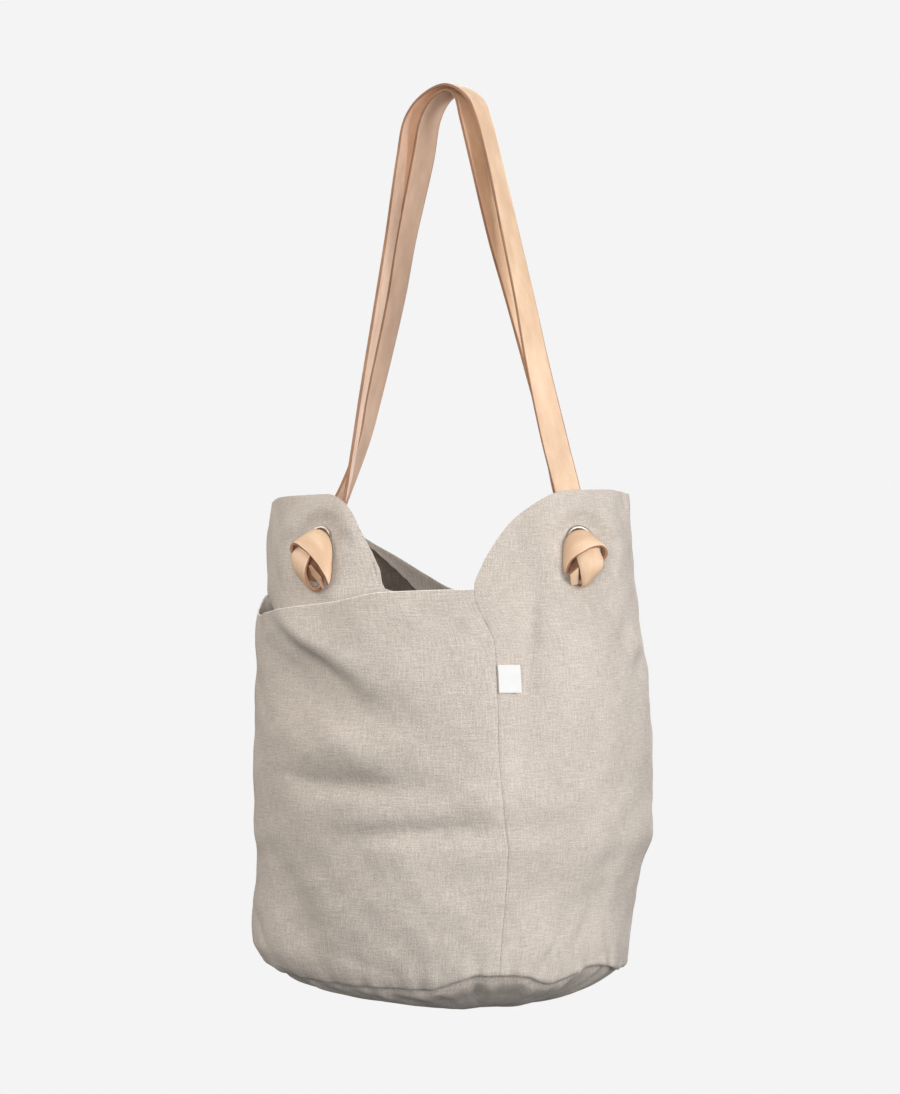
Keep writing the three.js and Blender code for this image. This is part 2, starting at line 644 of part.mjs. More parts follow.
// Strap from the knot at the left ear, over the crown, to the knot at the right ear
function strapGeometry(side) {
  const legRows = STRAPS[side].map(({ x, y, z, turn }) => {
    const angle = THREE.MathUtils.degToRad(turn);
    return flatRow(new THREE.Vector3(x, y, z), new THREE.Vector3(Math.sin(angle), Math.cos(angle), 0));
  });
  const widthwaysOf = (row) => row.right.clone().sub(row.left).normalize();
  const ends = [
    { name: `${side}_left`, mirror: -1, leg: legRows[0] },
    { name: `${side}_right`, mirror: 1, leg: legRows[legRows.length - 1] },
  ];
  const [leftEnd, rightEnd] = ends.map(({ name, mirror, leg }) =>
    strapEndRows(EYELETS[name], AXES[name], mirror, widthwaysOf(leg)),
  );
  let solid = solidFrom(bandGeometry([...leftEnd.reverse(), ...legRows, ...rightEnd]));
  for (const { name, mirror } of ends) {
    for (const table of [ROLL_ROWS, TAIL_ROWS]) {
      const rows = knotRows(table, AXES[name], mirror);
      const inOrder = mirror > 0 ? rows : rows.reverse();
      solid = solid.add(solidFrom(bandGeometry(inOrder)));
    }
  }
  return geometryOf(solid);
}

// Blank cloth tab, sewn into the front seam and lying over the right panel
function labelGeometry() {
  return sheetGeometry(LABEL.columns, LABEL.rows, (share, level, side) => {
    const height = LABEL.top - LABEL.height * (1 - level);
    const start = seamAngle(height) + SEAM_GAP / MM_PER_DEGREE;
    const angle = start + (share * LABEL.width) / MM_PER_DEGREE;
    const lift = LABEL.lift + LABEL.curl * share * share + (side > 0 ? LABEL.thickness : 0);
    return clothPoint(angle, height, -lift);
  });
}

const bag = new THREE.Group();

function addMesh(name, geometry, material) {
  const mesh = new THREE.Mesh(geometry, material);
  mesh.name = name;
  bag.add(mesh);
  return mesh;
}

addMesh("panel_right", cutPanel(RIGHT_PANEL), LINEN_MATERIAL);
addMesh("panel_left", cutPanel(LEFT_PANEL), LINEN_MATERIAL);
addMesh("pocket", panelGeometry(POCKET, PANEL_ROWS.lower, PANEL_ROWS.pocketTop), LINEN_MATERIAL);
addMesh("base", baseGeometry(), LINEN_MATERIAL);
addMesh("label_tab", labelGeometry(), LABEL_MATERIAL);
for (const [name, axes] of Object.entries(AXES)) {
  const eyelet = addMesh(`eyelet_${name}`, eyeletGeometry(), METAL_MATERIAL);
  eyelet.position.copy(axes.centre);
  eyelet.quaternion.setFromUnitVectors(new THREE.Vector3(0, 1, 0), axes.out);
}
for (const side of Object.keys(STRAPS)) {
  addMesh(`strap_${side}`, strapGeometry(side), LEATHER_MATERIAL);
}

export default bag;
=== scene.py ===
"""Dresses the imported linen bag: cloth shells, knotted leather straps, eyelets, label, light and camera."""

import logging
import math
from dataclasses import dataclass, field
from enum import Enum
from functools import partial
from typing import Callable, Protocol, Sequence

import bpy
import numpy as np
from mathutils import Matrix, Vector


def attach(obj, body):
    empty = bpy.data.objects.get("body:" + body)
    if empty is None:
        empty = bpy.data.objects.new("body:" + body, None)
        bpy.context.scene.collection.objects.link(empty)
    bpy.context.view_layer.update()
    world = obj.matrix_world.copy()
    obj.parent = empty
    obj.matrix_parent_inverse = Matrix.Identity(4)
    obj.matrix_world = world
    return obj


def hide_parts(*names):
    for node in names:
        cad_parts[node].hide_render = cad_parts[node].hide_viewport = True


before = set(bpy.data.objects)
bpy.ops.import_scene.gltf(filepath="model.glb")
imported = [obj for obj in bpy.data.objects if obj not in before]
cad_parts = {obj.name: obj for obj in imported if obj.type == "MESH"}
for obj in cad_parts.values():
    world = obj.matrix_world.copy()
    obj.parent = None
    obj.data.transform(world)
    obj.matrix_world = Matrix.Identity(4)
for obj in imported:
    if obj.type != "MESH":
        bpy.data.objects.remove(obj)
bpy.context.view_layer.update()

LOG = logging.getLogger("bag")
MM = 0.001
BODY = "root"
WEAVE_MAP = "weave"
MM_PER_UV = 100.0
MM_PER_DEGREE = 2.3
BACK_TURN = 180.0
FULL_TURN = 360.0
TINY = 1e-9

# Wall of the solids' cloth, and how far the left panel lies behind the outermost cloth, in millimetres
WALL = 1.4
LEFT_INSET = 1.9

Array = np.ndarray
Span = tuple[float, float]
Triple = tuple[float, float, float]
Colour = tuple[float, float, float, float]
Rows = Sequence[Sequence[Triple]]
Profile = Callable[[Array], Array]
Relief = Callable[[Array, Array], Array]


def smoothstep(low: float, high: float, value: Array) -> Array:
    """Rise smoothly from 0 where the value is at low to 1 where it is at high."""
    share = np.clip((value - low) / (high - low), 0, 1)
    return share * share * (3 - 2 * share)


def wrap_turn(angle: Array) -> Array:
    """Bring angles into the turn from -180 to 180."""
    return (np.asarray(angle, dtype=float) + BACK_TURN) % FULL_TURN - BACK_TURN


def unit(vectors: Array) -> Array:
    """Scale vectors to length one."""
    return vectors / np.maximum(np.linalg.norm(vectors, axis=-1, keepdims=True), TINY)


def travelled(points: Array) -> Array:
    """Length of the way from the first point of a row to each of them."""
    return np.concatenate([[0], np.cumsum(np.linalg.norm(np.diff(points, axis=0), axis=1))])


def hermite(share: Array, first: Array, last: Array, start: Array, end: Array) -> Array:
    """Run smoothly between two values with a given slope at each of them.

    Args:
        share: Share of the way, 0 to 1.
        first: Value at 0.
        last: Value at 1.
        start: Slope at 0.
        end: Slope at 1.

    Returns:
        The value at each share.
    """
    rest = 1 - share
    bend = start * share * rest**2 - end * share**2 * rest
    return first + (last - first) * smoothstep(0, 1, share) + bend


class Table:
    """Rows of named columns, read smoothly between the rows without overshoot."""

    def __init__(self, columns: str, rows: Sequence[Sequence[float]]) -> None:
        """Store the rows in rising order of the first column.

        Args:
            columns: Names of the columns, parted by blanks; the first is the key.
            rows: One row of numbers for each place.
        """
        ordered = np.array(sorted(rows), dtype=float)
        self.keys = ordered[:, 0]
        self.columns = {name: ordered[:, i] for i, name in enumerate(columns.split())}

    def read(self, column: str, place: Array) -> Array:
        """Read one column at many places.

        Args:
            column: Name of the column.
            place: Values of the key.

        Returns:
            The column's values there, held beyond the first and last row.
        """
        values = self.columns[column]
        secants = np.diff(values) / np.diff(self.keys)
        left = secants[:-1]
        right = secants[1:]
        steady = left * right > 0
        slopes = np.zeros_like(values)
        slopes[1:-1][steady] = 2 * left[steady] * right[steady] / (left[steady] + right[steady])
        places = np.asarray(place, dtype=float)
        low = np.clip(np.searchsorted(self.keys, places, side="right") - 1, 0, len(self.keys) - 2)
        span = self.keys[low + 1] - self.keys[low]
        share = np.clip((places - self.keys[low]) / span, 0, 1)
        return hermite(share, values[low], values[low + 1], slopes[low] * span, slopes[low + 1] * span)


# Level sections of the outermost cloth: half widths, half depths and how sharply the sides come to a fold
SECTIONS = Table(
    "height left right front back lens",
    [
        (-290, 139, 130, 60, 58, 1.35),
        (-330, 142.5, 132, 73, 71, 1.3),
        (-372, 143.5, 136, 95, 91, 1.2),
        (-410, 147, 141.5, 106, 102, 1.12),
        (-450, 148.5, 146, 112, 108, 1.05),
        (-520, 149.2, 147.5, 117, 113, 1),
        (-542, 150, 147.5, 117, 113, 1),
        (-562, 146.5, 141.5, 116, 112, 1),
        (-582, 148, 136, 115.5, 110, 1),
        (-602, 151, 132.5, 114, 108, 0.98),
        (-626, 149.5, 129.5, 111.5, 103, 0.95),
        (-638, 143, 127, 108.5, 98, 0.95),
        (-650, 131, 121, 102, 91, 0.95),
    ],
)

# Angle of the front seam at each height; the back seam is its mirror image
SEAM = Table(
    "height angle",
    [(-290, 12.5), (-366, 13), (-407, 19.5), (-484, 20.5), (-582, 24), (-650, 23)],
)

# Puckered height of the base seam, and how far the base's edge lies inside the outermost cloth
BASE_SEAM = Table(
    "angle height",
    [
        (-180, -643),
        (-140, -639),
        (-90, -640),
        (-50, -646),
        (-8, -647),
        (8, -636),
        (23, -637),
        (34, -644),
        (58, -634),
        (85, -643),
        (130, -638),
        (180, -643),
    ],
)
BASE_INSET = Table(
    "angle inset",
    [(-180, 4.2), (23.4, 4.2), (26, 2.3), (154, 2.3), (156.6, 4.2), (180, 4.2)],
)

# Top edge of the right panel from the front seam to the fold; the back half mirrors it
RIGHT_RIM = Table(
    "angle height",
    [
        (12.5, -366),
        (14, -357),
        (16.6, -343),
        (20.6, -328),
        (24.8, -316.5),
        (28.9, -309),
        (33.5, -302.6),
        (39, -297.3),
        (47.5, -295),
        (60, -294),
        (90, -297),
    ],
)

# Top edge of the left panel, all the way from the back seam to the front seam
LEFT_RIM = Table(
    "angle height",
    [
        (-195, -368),
        (-184, -374),
        (-174, -368),
        (-166, -357),
        (-157, -343),
        (-147, -329),
        (-138, -311),
        (-126, -301),
        (-90, -303),
        (-70, -299),
        (-38, -297.5),
        (-34.5, -299),
        (-31, -302.8),
        (-27, -310.5),
        (-24, -319.5),
        (-22, -330),
        (-20.5, -343),
        (-19, -357),
        (-17.8, -365.3),
        (-10, -369),
        (15, -367),
    ],
)

# Top edge of the pocket, which sags at the left side
POCKET_RIM = Table(
    "angle height",
    [
        (-195, -368),
        (-120, -371),
        (-100, -371),
        (-88, -380),
        (-76, -386),
        (-62, -383.5),
        (-50, -380),
        (-31, -375),
        (-13, -367.5),
        (15, -365.5),
    ],
)

# How far the slack top of the left panel falls inwards, and how far the pocket's mouth stands away from it
SLACK = Table(
    "angle inward",
    [
        (-195, 0),
        (-184, 8),
        (-170, 8),
        (-150, 0),
        (-44, 0),
        (-34, 0),
        (-26, 8),
        (-16, 22),
        (-4, 26),
        (8, 14),
        (15, 0),
    ],
)
POCKET_FLARE = Table(
    "angle outward",
    [(-195, 0), (-120, 2.5), (-98, 3), (-78, 3.5), (-60, 7), (-45, 7), (-25, 2.5), (15, 0)],
)

# Hem folded to the inside of each rim: its width and how far its lower edge stands off the wall
RIGHT_HEM = Table("angle width lift", [(12, 9, 0.4), (90, 12, 0.6), (168, 9, 0.4)])
LEFT_HEM = Table(
    "angle width lift",
    [
        (-195, 12, 0.6),
        (-189, 19, 3.5),
        (-180, 24, 9),
        (-166, 19, 9),
        (-161, 15, 7),
        (-156, 10, 5),
        (-151, 5, 2.5),
        (-147, 2.5, 1),
        (-142, 5, 0.6),
        (-132, 8, 0.6),
        (-90, 10, 0.6),
        (-35, 9, 0.4),
        (-22, 6, 0.4),
        (15, 6, 0.3),
    ],
)

# Folds of the cloth: place, half length, half breadth, slope of the fold line, and depth (minus is in)
FOLDS = [
    (-35, -405, 48, 12, -31, 4),
    (-43, -430, 46, 13, -31, -10),
    (-19, -447, 28, 18, -10, -5),
    (-22, -475, 46, 15, 0, 3),
    (-22, -504, 44, 11, 0, -5.5),
    (5, -516, 62, 13, 5, 2),
    (2, -537, 56, 9, 4, -4.5),
    (4, -554, 60, 12, 4, 1),
    (29, -420, 62, 14, 86, -5),
    (72, -396, 15, 9, 20, -3),
    (80, -420, 15, 9, 20, -3),
    (-42, -598, 34, 15, -55, -7),
    (58, -592, 46, 14, 80, -3.5),
    (150, -470, 60, 20, 25, -5),
    (-155, -440, 56, 18, -28, -5),
    (-172, -560, 60, 13, 4, -5),
    (118, -575, 46, 15, 70, -4),
]

# Smaller creases that lie on the folds, in the same columns
CREASES = [
    (-36, -406, 40, 6, -33, 2.6),
    (-37, -421, 42, 8, -33, -7.5),
    (-46, -446, 34, 22, -31, -5),
    (-31, -424, 22, 12, -31, -7.5),
    (-24, -503, 36, 6, 0, -1.6),
    (-22, -513, 36, 5, 0, 0.8),
    (-2, -534, 40, 5, 4, -1.6),
    (0, -544, 40, 5, 4, 0.9),
    (-40, -500, 20, 4, -8, -1.0),
    (52, -612, 20, 4, 64, -0.9),
    (66, -616, 16, 4, 100, -0.8),
    (40, -622, 14, 4, 60, -1.0),
    (-62, -616, 24, 5, -40, -1.4),
    (-20, -628, 18, 4, -20, -1.0),
    (33, -380, 20, 4, 80, -0.9),
    (30, -400, 60, 8, 86, -2.2),
    (64, -350, 18, 4, 70, -0.8),
    (-58, -345, 20, 5, 80, -1.2),
    (-30, -340, 26, 5, 86, 1.4),
    (128, -590, 24, 4, 62, -1.4),
    (-120, -600, 26, 5, 40, -1.4),
    (165, -610, 20, 4, 30, -1.2),
    (-140, -520, 30, 4, -14, -1.2),
]

# Waves of the unpressed cloth: wave length, direction of the run, phase and height
WAVES = [
    (71, 12, 0.4, 0.5),
    (53, 78, 1.9, 0.4),
    (39, -36, 2.7, 0.32),
    (31, 47, 4.1, 0.24),
    (23, -71, 5.3, 0.16),
    (17, 24, 0.9, 0.1),
]

# Eyelets: angle and height on the ear, and the strap's lean sideways and inwards at the ear's top
EYELETS = {
    "front_right": (49, -331, 1.5, 10),
    "front_left": (-40, -331, -2, 20),
    "back_right": (131, -331, 10.5, 18),
    "back_left": (-128, -331, -10, 12),
}

# Middle line of each strap from ear to ear over the crown, and the plan angle of its width
STRAP_LINES = {
    "front": [
        (-69.4, -22.5, -257, -4),
        (-65.3, -19, -227, -2),
        (-53.4, -9, -152, 8),
        (-47.6, -1, -107, 9),
        (-39.2, 10, -46, 22),
        (-33, 15, -16, 32),
        (-22, 14, -1, 33),
        (0, 0, 5.9, 34),
        (18, -12, -6, 30),
        (25, -15, -22, 27),
        (33, -17, -52, 26),
        (46.5, -20, -111, 33),
        (56.5, -23, -155, 39),
        (65.8, -26, -200, 50),
        (79.2, -27.5, -258, 68),
    ],
    "back": [
        (-73.8, 30, -254, 13),
        (-66.9, 30.5, -224, 22),
        (-49, 27, -149, 30),
        (-40, 21, -105, 35),
        (-26, 15, -46, 43),
        (-19.5, 11, -16, 39),
        (-11, 6.8, -2.8, 35),
        (0, 0, 1.8, 34),
        (7.5, -5.2, -2.6, 31),
        (13, -9, -21, 31),
        (20.5, -10, -51, 33),
        (33, -3, -109, 30),
        (43.6, 7, -153, 25),
        (52.6, 18, -196, 14),
        (64.5, 25, -255, -8),
    ],
}

# Strap end inside the ear and through the bore, as left, middle and right points in the eyelet's own axes
NECK_ROWS = [
    ((-8.6, 4.5, -7.2), (0, 9.5, -6), (8.6, 4.5, -7.2)),
    ((-6.7, -2, -2.4), (0, 6, -2.6), (6.7, -2, -2.4)),
    ((-6.7, -2, 2.2), (0, 6, 2.4), (6.7, -2, 2.2)),
    ((-6.4, -5, 5.4), (0, 2.5, 6.6), (6.4, -5, 5.4)),
]


@dataclass(frozen=True)
class KnotForm:
    """Rows of a knot's turns and core, as (across, up, towards the viewer) from the eyelet's centre."""

    hood: Rows
    roll: Rows
    tail: Rows
    # The core is a filler band in the knot's mouth that blocks the view through; it is coloured all over
    # with the dark edge leather as painted shade
    core: Rows
    turn: float


# Knot of the right ear, cut edge first in each row: the hood runs from its curl to the lower left
RIGHT_KNOT = KnotForm(
    hood=[
        ((15.6, -13.4, 5), (15, -12.5, 0), (14, -11, -4.5)),
        ((18.4, -10.5, 6.5), (17.8, -8.5, 1), (16, -6, -4)),
        ((18.2, -6.6, 8), (17.2, -4, 3), (14, -1.5, -2.5)),
        ((15.2, -4.2, 10), (14, -1.2, 6.5), (10.5, 1.5, 1)),
        ((10.5, -4.3, 12.3), (10.2, 1, 9.3), (7.5, 5, 3.5)),
        ((6.8, -5.4, 13.8), (6.2, 1.5, 11.5), (4.5, 7, 5)),
        ((2.7, -7.6, 14.6), (1.8, 0.5, 12.8), (0.5, 7.6, 6)),
        ((-1, -9.8, 14.8), (-2.5, -1.5, 13), (-4, 6.8, 6.6)),
        ((-3.8, -11.7, 14.6), (-6, -4, 12.6), (-8, 4.2, 7.2)),
        ((-6.5, -14.4, 14), (-8.8, -7.5, 11.6), (-10, 0.8, 7.6)),
        ((-8.3, -17.4, 13), (-10.4, -11.5, 10.4), (-10.8, -4, 8)),
        ((-9.7, -20.6, 11.6), (-11.2, -16.5, 9.6), (-11, -10, 8)),
        ((-10.2, -23, 10), (-11, -20.5, 8.8), (-10.6, -16, 8)),
    ],
    roll=[
        ((-2, -6, 9), (5, -4, 10), (13, -3, 6)),
        ((-3.3, -11, 11.5), (5.5, -9, 12.8), (14.4, -9, 7.5)),
        ((-2.2, -15, 12.8), (6.5, -13.5, 14.6), (16.2, -13.5, 8)),
        ((-0.9, -19.5, 13.2), (7, -18.5, 14.4), (16.2, -17.5, 7.6)),
        ((0, -24, 12.2), (6.5, -23.5, 12.6), (14.2, -20.8, 6.4)),
        ((0.7, -28, 10), (5.5, -28, 9.4), (10.8, -24, 4.8)),
        ((0.8, -31, 6.6), (4.2, -31, 6), (8, -27.5, 3.4)),
        ((-1, -31.4, 3.8), (2, -30.4, 3), (5.6, -27, 1.4)),
        ((-3, -29, 3.4), (-0.5, -27, 2.6), (3, -24, 1.6)),
    ],
    tail=[
        ((-8.2, -23.6, 12.8), (-5.1, -21, 13.6), (-2, -18.4, 14)),
        ((-7.6, -27.2, 9.4), (-4.8, -25.6, 10.2), (-1.8, -23.6, 10.6)),
        ((-6.6, -31, 5.2), (-4.4, -31, 5.6), (-1.8, -30, 6)),
    ],
    core=[
        ((-8.5, -10, 7), (-4, -8, 5.2), (3, -6, 4)),
        ((-8, -19, 6.8), (-3, -18, 5), (4, -17, 4)),
        ((-6, -28, 5.8), (-2, -28, 4.4), (3, -27, 3.4)),
    ],
    turn=-26.0,
)

# Knot of the left ear: its curl is on the left and its cut end shows in the mouth of the second turn
LEFT_KNOT = KnotForm(
    hood=[
        ((-19.6, -8.6, 1), (-18.6, -7, -4), (-17, -5, -8)),
        ((-20.2, -5, 2.5), (-19.2, -3, -3), (-17, -1, -7.5)),
        ((-18.8, -2.4, 4.5), (-17.4, -0.6, -0.5), (-14, 1.5, -5)),
        ((-15.5, -3, 7), (-13.8, 1, 3), (-10.5, 4, -2)),
        ((-11.8, -5.6, 9.6), (-10.2, 0.5, 6.5), (-7.5, 6.5, 0.5)),
        ((-8.1, -8.4, 11.8), (-6.4, -0.5, 9.5), (-4.4, 8, 2.5)),
        ((-4.4, -12, 13.4), (-2.6, -2.5, 11.8), (0.4, 8.2, 4.6)),
        ((-1.6, -15.2, 14.4), (0.6, -5.5, 13), (4, 6.6, 6.4)),
        ((1.2, -19, 15), (3.4, -9.5, 13.6), (7, 3.8, 7.8)),
        ((3.5, -23, 15), (5.6, -14, 13.6), (8.8, -0.5, 9)),
        ((5.4, -26.8, 14.2), (7.2, -19, 13), (9.4, -7, 9.8)),
        ((6.4, -30, 12.5), (8, -24, 12), (8.9, -15, 10.2)),
        ((7, -31.5, 10.6), (8.2, -27.5, 10.6), (8.8, -21, 10)),
    ],
    roll=[
        ((-16, -5, 1), (-10.5, -6.5, 6), (-5, -8, 9)),
        ((-19.2, -9.5, 0.5), (-13, -10.5, 6.5), (-5.6, -12.2, 10.4)),
        ((-19.4, -14, 0), (-13.6, -15, 6.8), (-7.3, -16, 11)),
        ((-18, -19, -0.5), (-13.5, -20, 6), (-8.4, -20.5, 10.8)),
        ((-15.3, -23.8, -1), (-12, -25.5, 4.6), (-8.6, -25, 9.8)),
        ((-11.5, -28.2, -1), (-9.5, -30, 3.4), (-7.4, -29.5, 8.4)),
        ((-8, -32, -0.8), (-6.6, -33.4, 2.8), (-5, -32.8, 7)),
        ((-4.5, -33.8, 0.5), (-3.4, -34.8, 3.5), (-2, -34.8, 7)),
        ((-0.5, -33.5, 3), (0.3, -34, 5.5), (1.3, -34.4, 8)),
        ((3, -31, 6.5), (3.5, -31.5, 8), (4.2, -32, 9.5)),
    ],
    tail=[
        ((-6, -17.4, 13.4), (-2, -21.8, 14), (2, -26.2, 14)),
        ((-5.2, -20, 10), (-1, -25, 11), (3.2, -30, 11.4)),
        ((-4, -24, 7), (0.5, -29, 8.4), (4.6, -34.6, 9.6)),
    ],
    core=[
        ((-12, -8, 0), (-6, -8, 2.4), (1, -8, 4.4)),
        ((-10, -18, 0), (-4.5, -18, 2.6), (3, -18, 5.2)),
        ((-7, -28, 0), (-2, -29, 2.6), (4, -28, 5.8)),
    ],
    turn=37.0,
)

KNOTS = {
    "front_right": RIGHT_KNOT,
    "front_left": LEFT_KNOT,
    "back_right": LEFT_KNOT,
    "back_left": RIGHT_KNOT,
}


class Cloth:
    """Shape of the hanging cloth, in millimetres and in degrees round the bag."""

    PROBE = 1.0
    BELT = -372.0
    SWELL_RISE = 3.7
    SWELL_RUN = 1.9
    SWELL_SHARE = 0.9
    FLARE_HEIGHTS = (-446.0, -376.0)
    SLACK_HEIGHTS = (-450.0, -372.0)
    TUCK_ANGLE = -88.0
    TUCK_TURN = 18.0
    TUCK_HEIGHT = -388.0
    TUCK_ABOVE = 11.0
    TUCK_BELOW = 28.0
    TUCK_DEPTH = 11.0

    @staticmethod
    def outline(angle: Array, height: Array) -> Array:
        """Level outline of the outermost cloth, without folds.

        Args:
            angle: Degrees round the bag, 0 at the front and 90 at the right.
            height: Height of each place.

        Returns:
            Plan points, x and y in the last axis.
        """
        sideways = np.sin(np.radians(angle))
        facing = np.cos(np.radians(angle))
        width = np.where(sideways < 0, SECTIONS.read("left", height), SECTIONS.read("right", height))
        depth = np.where(facing > 0, SECTIONS.read("front", height), SECTIONS.read("back", height))
        across = np.abs(facing) ** SECTIONS.read("lens", height)
        return np.stack([width * sideways, -np.sign(facing) * depth * across], axis=-1)

    @classmethod
    def outward(cls, angle: Array, height: Array) -> Array:
        """Level unit vectors out of the cloth at each angle and height."""
        along = cls.outline(angle + cls.PROBE, height) - cls.outline(angle - cls.PROBE, height)
        return unit(np.stack([along[..., 1], -along[..., 0]], axis=-1))

    @staticmethod
    def fold_depth(angle: Array, height: Array, folds: Sequence[Sequence[float]]) -> Array:
        """Add up folds at each place.

        Args:
            angle: Degrees round the bag.
            height: Height of each place.
            folds: Rows of place, half length, half breadth, slope and depth.

        Returns:
            Outward shift in millimetres.
        """
        depth = np.zeros(np.broadcast(angle, height).shape)
        for fold_angle, fold_height, along, across, slope, deep in folds:
            sideways = wrap_turn(angle - fold_angle) * MM_PER_DEGREE
            upwards = height - fold_height
            cosine = math.cos(math.radians(slope))
            sine = math.sin(math.radians(slope))
            run = sideways * cosine + upwards * sine
            breadth = upwards * cosine - sideways * sine
            depth += deep * np.exp(-((run / along) ** 2) - (breadth / across) ** 2)
        return depth

    @classmethod
    def wave_depth(cls, angle: Array, height: Array) -> Array:
        """Add up the low waves of unpressed cloth.

        Args:
            angle: Degrees round the bag.
            height: Height of each place.

        Returns:
            Outward shift in millimetres.
        """
        arc = wrap_turn(angle) * MM_PER_DEGREE
        depth = np.zeros(np.broadcast(angle, height).shape)
        for length, direction, phase, high in WAVES:
            run = arc * math.cos(math.radians(direction)) + height * math.sin(math.radians(direction))
            turn = 2 * math.pi * height / (length * cls.SWELL_RISE) + arc / (length * cls.SWELL_RUN)
            swell = cls.SWELL_SHARE * np.sin(turn + 2 * phase)
            depth += high * np.sin(2 * math.pi * run / length + phase + swell)
        return depth

    @classmethod
    def point(cls, angle: Array, height: Array, shift: Array) -> Array:
        """Point of the folded cloth, moved outwards by a shift.

        Args:
            angle: Degrees round the bag.
            height: Height of each place.
            shift: Extra outward shift in millimetres.

        Returns:
            Points in millimetres.
        """
        moved = cls.fold_depth(angle, height, FOLDS) + shift
        level = cls.outline(angle, height) + cls.outward(angle, height) * moved[..., None]
        return np.concatenate([level, np.broadcast_to(height, moved.shape)[..., None]], axis=-1)

    @staticmethod
    def seam_angle(height: Array) -> Array:
        """Angle of the front seam at each height."""
        return SEAM.read("angle", height)

    @staticmethod
    def base_height(angle: Array) -> Array:
        """Height of the base seam at each angle."""
        return BASE_SEAM.read("height", wrap_turn(angle))

    @classmethod
    def edge_height(cls, angle: Array, height: Array) -> Array:
        """Height of the base seam below a place of the wall, whose threads slant with the side seams.

        Args:
            angle: Degrees round the bag.
            height: Height of each place.

        Returns:
            Heights of the seam.
        """
        front = cls.seam_angle(height)
        belt_front = cls.seam_angle(np.array(cls.BELT))
        turn = wrap_turn(angle)
        on_left = np.where(turn > front, turn - FULL_TURN, turn)
        left_share = (on_left + BACK_TURN + front) / (BACK_TURN + 2 * front)
        left = left_share * (BACK_TURN + 2 * belt_front) - BACK_TURN - belt_front
        right_share = (turn - front) / (BACK_TURN - 2 * front)
        right = belt_front + right_share * (BACK_TURN - 2 * belt_front)
        is_right = (turn > front) & (turn < BACK_TURN - front)
        return cls.base_height(np.where(is_right, right, left))

    @classmethod
    def left_relief(cls, angle: Array, height: Array) -> Array:
        """Inward fall of the left panel's slack top and its dent behind the pocket's corner.

        Args:
            angle: Degrees round the bag.
            height: Height of each place.

        Returns:
            Outward shift, which is zero or less.
        """
        slack = SLACK.read("inward", angle) * smoothstep(*cls.SLACK_HEIGHTS, height)
        turn = (angle - cls.TUCK_ANGLE) / cls.TUCK_TURN
        rise = height - cls.TUCK_HEIGHT
        rise = rise / np.where(rise > 0, cls.TUCK_ABOVE, cls.TUCK_BELOW)
        return -slack - cls.TUCK_DEPTH * np.exp(-(turn**2) - rise**2)

    @classmethod
    def pocket_relief(cls, angle: Array, height: Array) -> Array:
        """Outward stand of the pocket's mouth, which is zero or more."""
        return POCKET_FLARE.read("outward", angle) * smoothstep(*cls.FLARE_HEIGHTS, height)

    @staticmethod
    def no_relief(angle: Array, height: Array) -> Array:
        """No shift anywhere."""
        return np.zeros(np.broadcast(angle, height).shape)


class Side(Enum):
    """Half of the bag that a piece of cloth covers."""

    RIGHT = 1
    LEFT = -1


@dataclass
class EyeletPlace:
    """Own axes of an eyelet on its ear."""

    name: str
    centre: Array
    right: Array
    up: Array
    out: Array
    side: Side
    lean: float
    inward: float

    TURN_PROBE = 2.0
    RISE_PROBE = 6.0

    @classmethod
    def named(cls, name: str) -> "EyeletPlace":
        """Work out the axes of one eyelet.

        Args:
            name: Key of the eyelet's table.

        Returns:
            The eyelet's place.
        """
        angle, height, lean, inward = EYELETS[name]
        side = Side.RIGHT if angle > 0 else Side.LEFT
        relief = Cloth.no_relief if side is Side.RIGHT else Cloth.left_relief
        inset = (0 if side is Side.RIGHT else LEFT_INSET) + WALL / 2

        def middle(turn: float, level: float) -> Array:
            """Point in the middle of the wall.

            Args:
                turn: Degrees round the bag.
                level: Height of the point.

            Returns:
                The point in millimetres.
            """
            a = np.array(float(turn))
            h = np.array(float(level))
            return Cloth.point(a, h, relief(a, h) - inset)

        right = unit(middle(angle + cls.TURN_PROBE, height) - middle(angle - cls.TURN_PROBE, height))
        rise = unit(middle(angle, height + cls.RISE_PROBE) - middle(angle, height - cls.RISE_PROBE))
        out = unit(np.cross(right, rise))
        return cls(name, middle(angle, height), right, np.cross(out, right), out, side, lean, inward)

    def place(self, local: Sequence[float]) -> Array:
        """Turn own coordinates, across, up and out in millimetres, into a point of the bag."""
        return self.centre + self.right * local[0] + self.up * local[1] + self.out * local[2]

    def reach(self, points: Array) -> tuple[Array, Array]:
        """Measure points from the eyelet.

        Args:
            points: Points in millimetres.

        Returns:
            How far each lies out of the wall and how far from the eyelet's axis.
        """
        offset = points - self.centre
        deep = offset @ self.out
        return deep, np.sqrt(np.maximum((offset**2).sum(-1) - deep**2, 0))

    def hang(self, local: Sequence[float], turn: float) -> Array:
        """Place a point of the knot, which hangs upright in front of the leaning wall.

        Args:
            local: Across, straight up and level out of the wall, in millimetres.
            turn: Degrees by which the level axes are turned about the upright.

        Returns:
            The point in millimetres.
        """
        level = unit(self.out * np.array([1, 1, 0]))
        cosine = math.cos(math.radians(turn))
        sine = math.sin(math.radians(turn))
        across = self.right * cosine - level * sine
        outwards = level * cosine + self.right * sine
        wall = -self.out[2] / float(self.out @ outwards) * local[1]
        upright = np.array([0, 0, local[1]])
        return self.centre + across * local[0] + upright + outwards * (local[2] + wall)


PLACES = {name: EyeletPlace.named(name) for name in EYELETS}


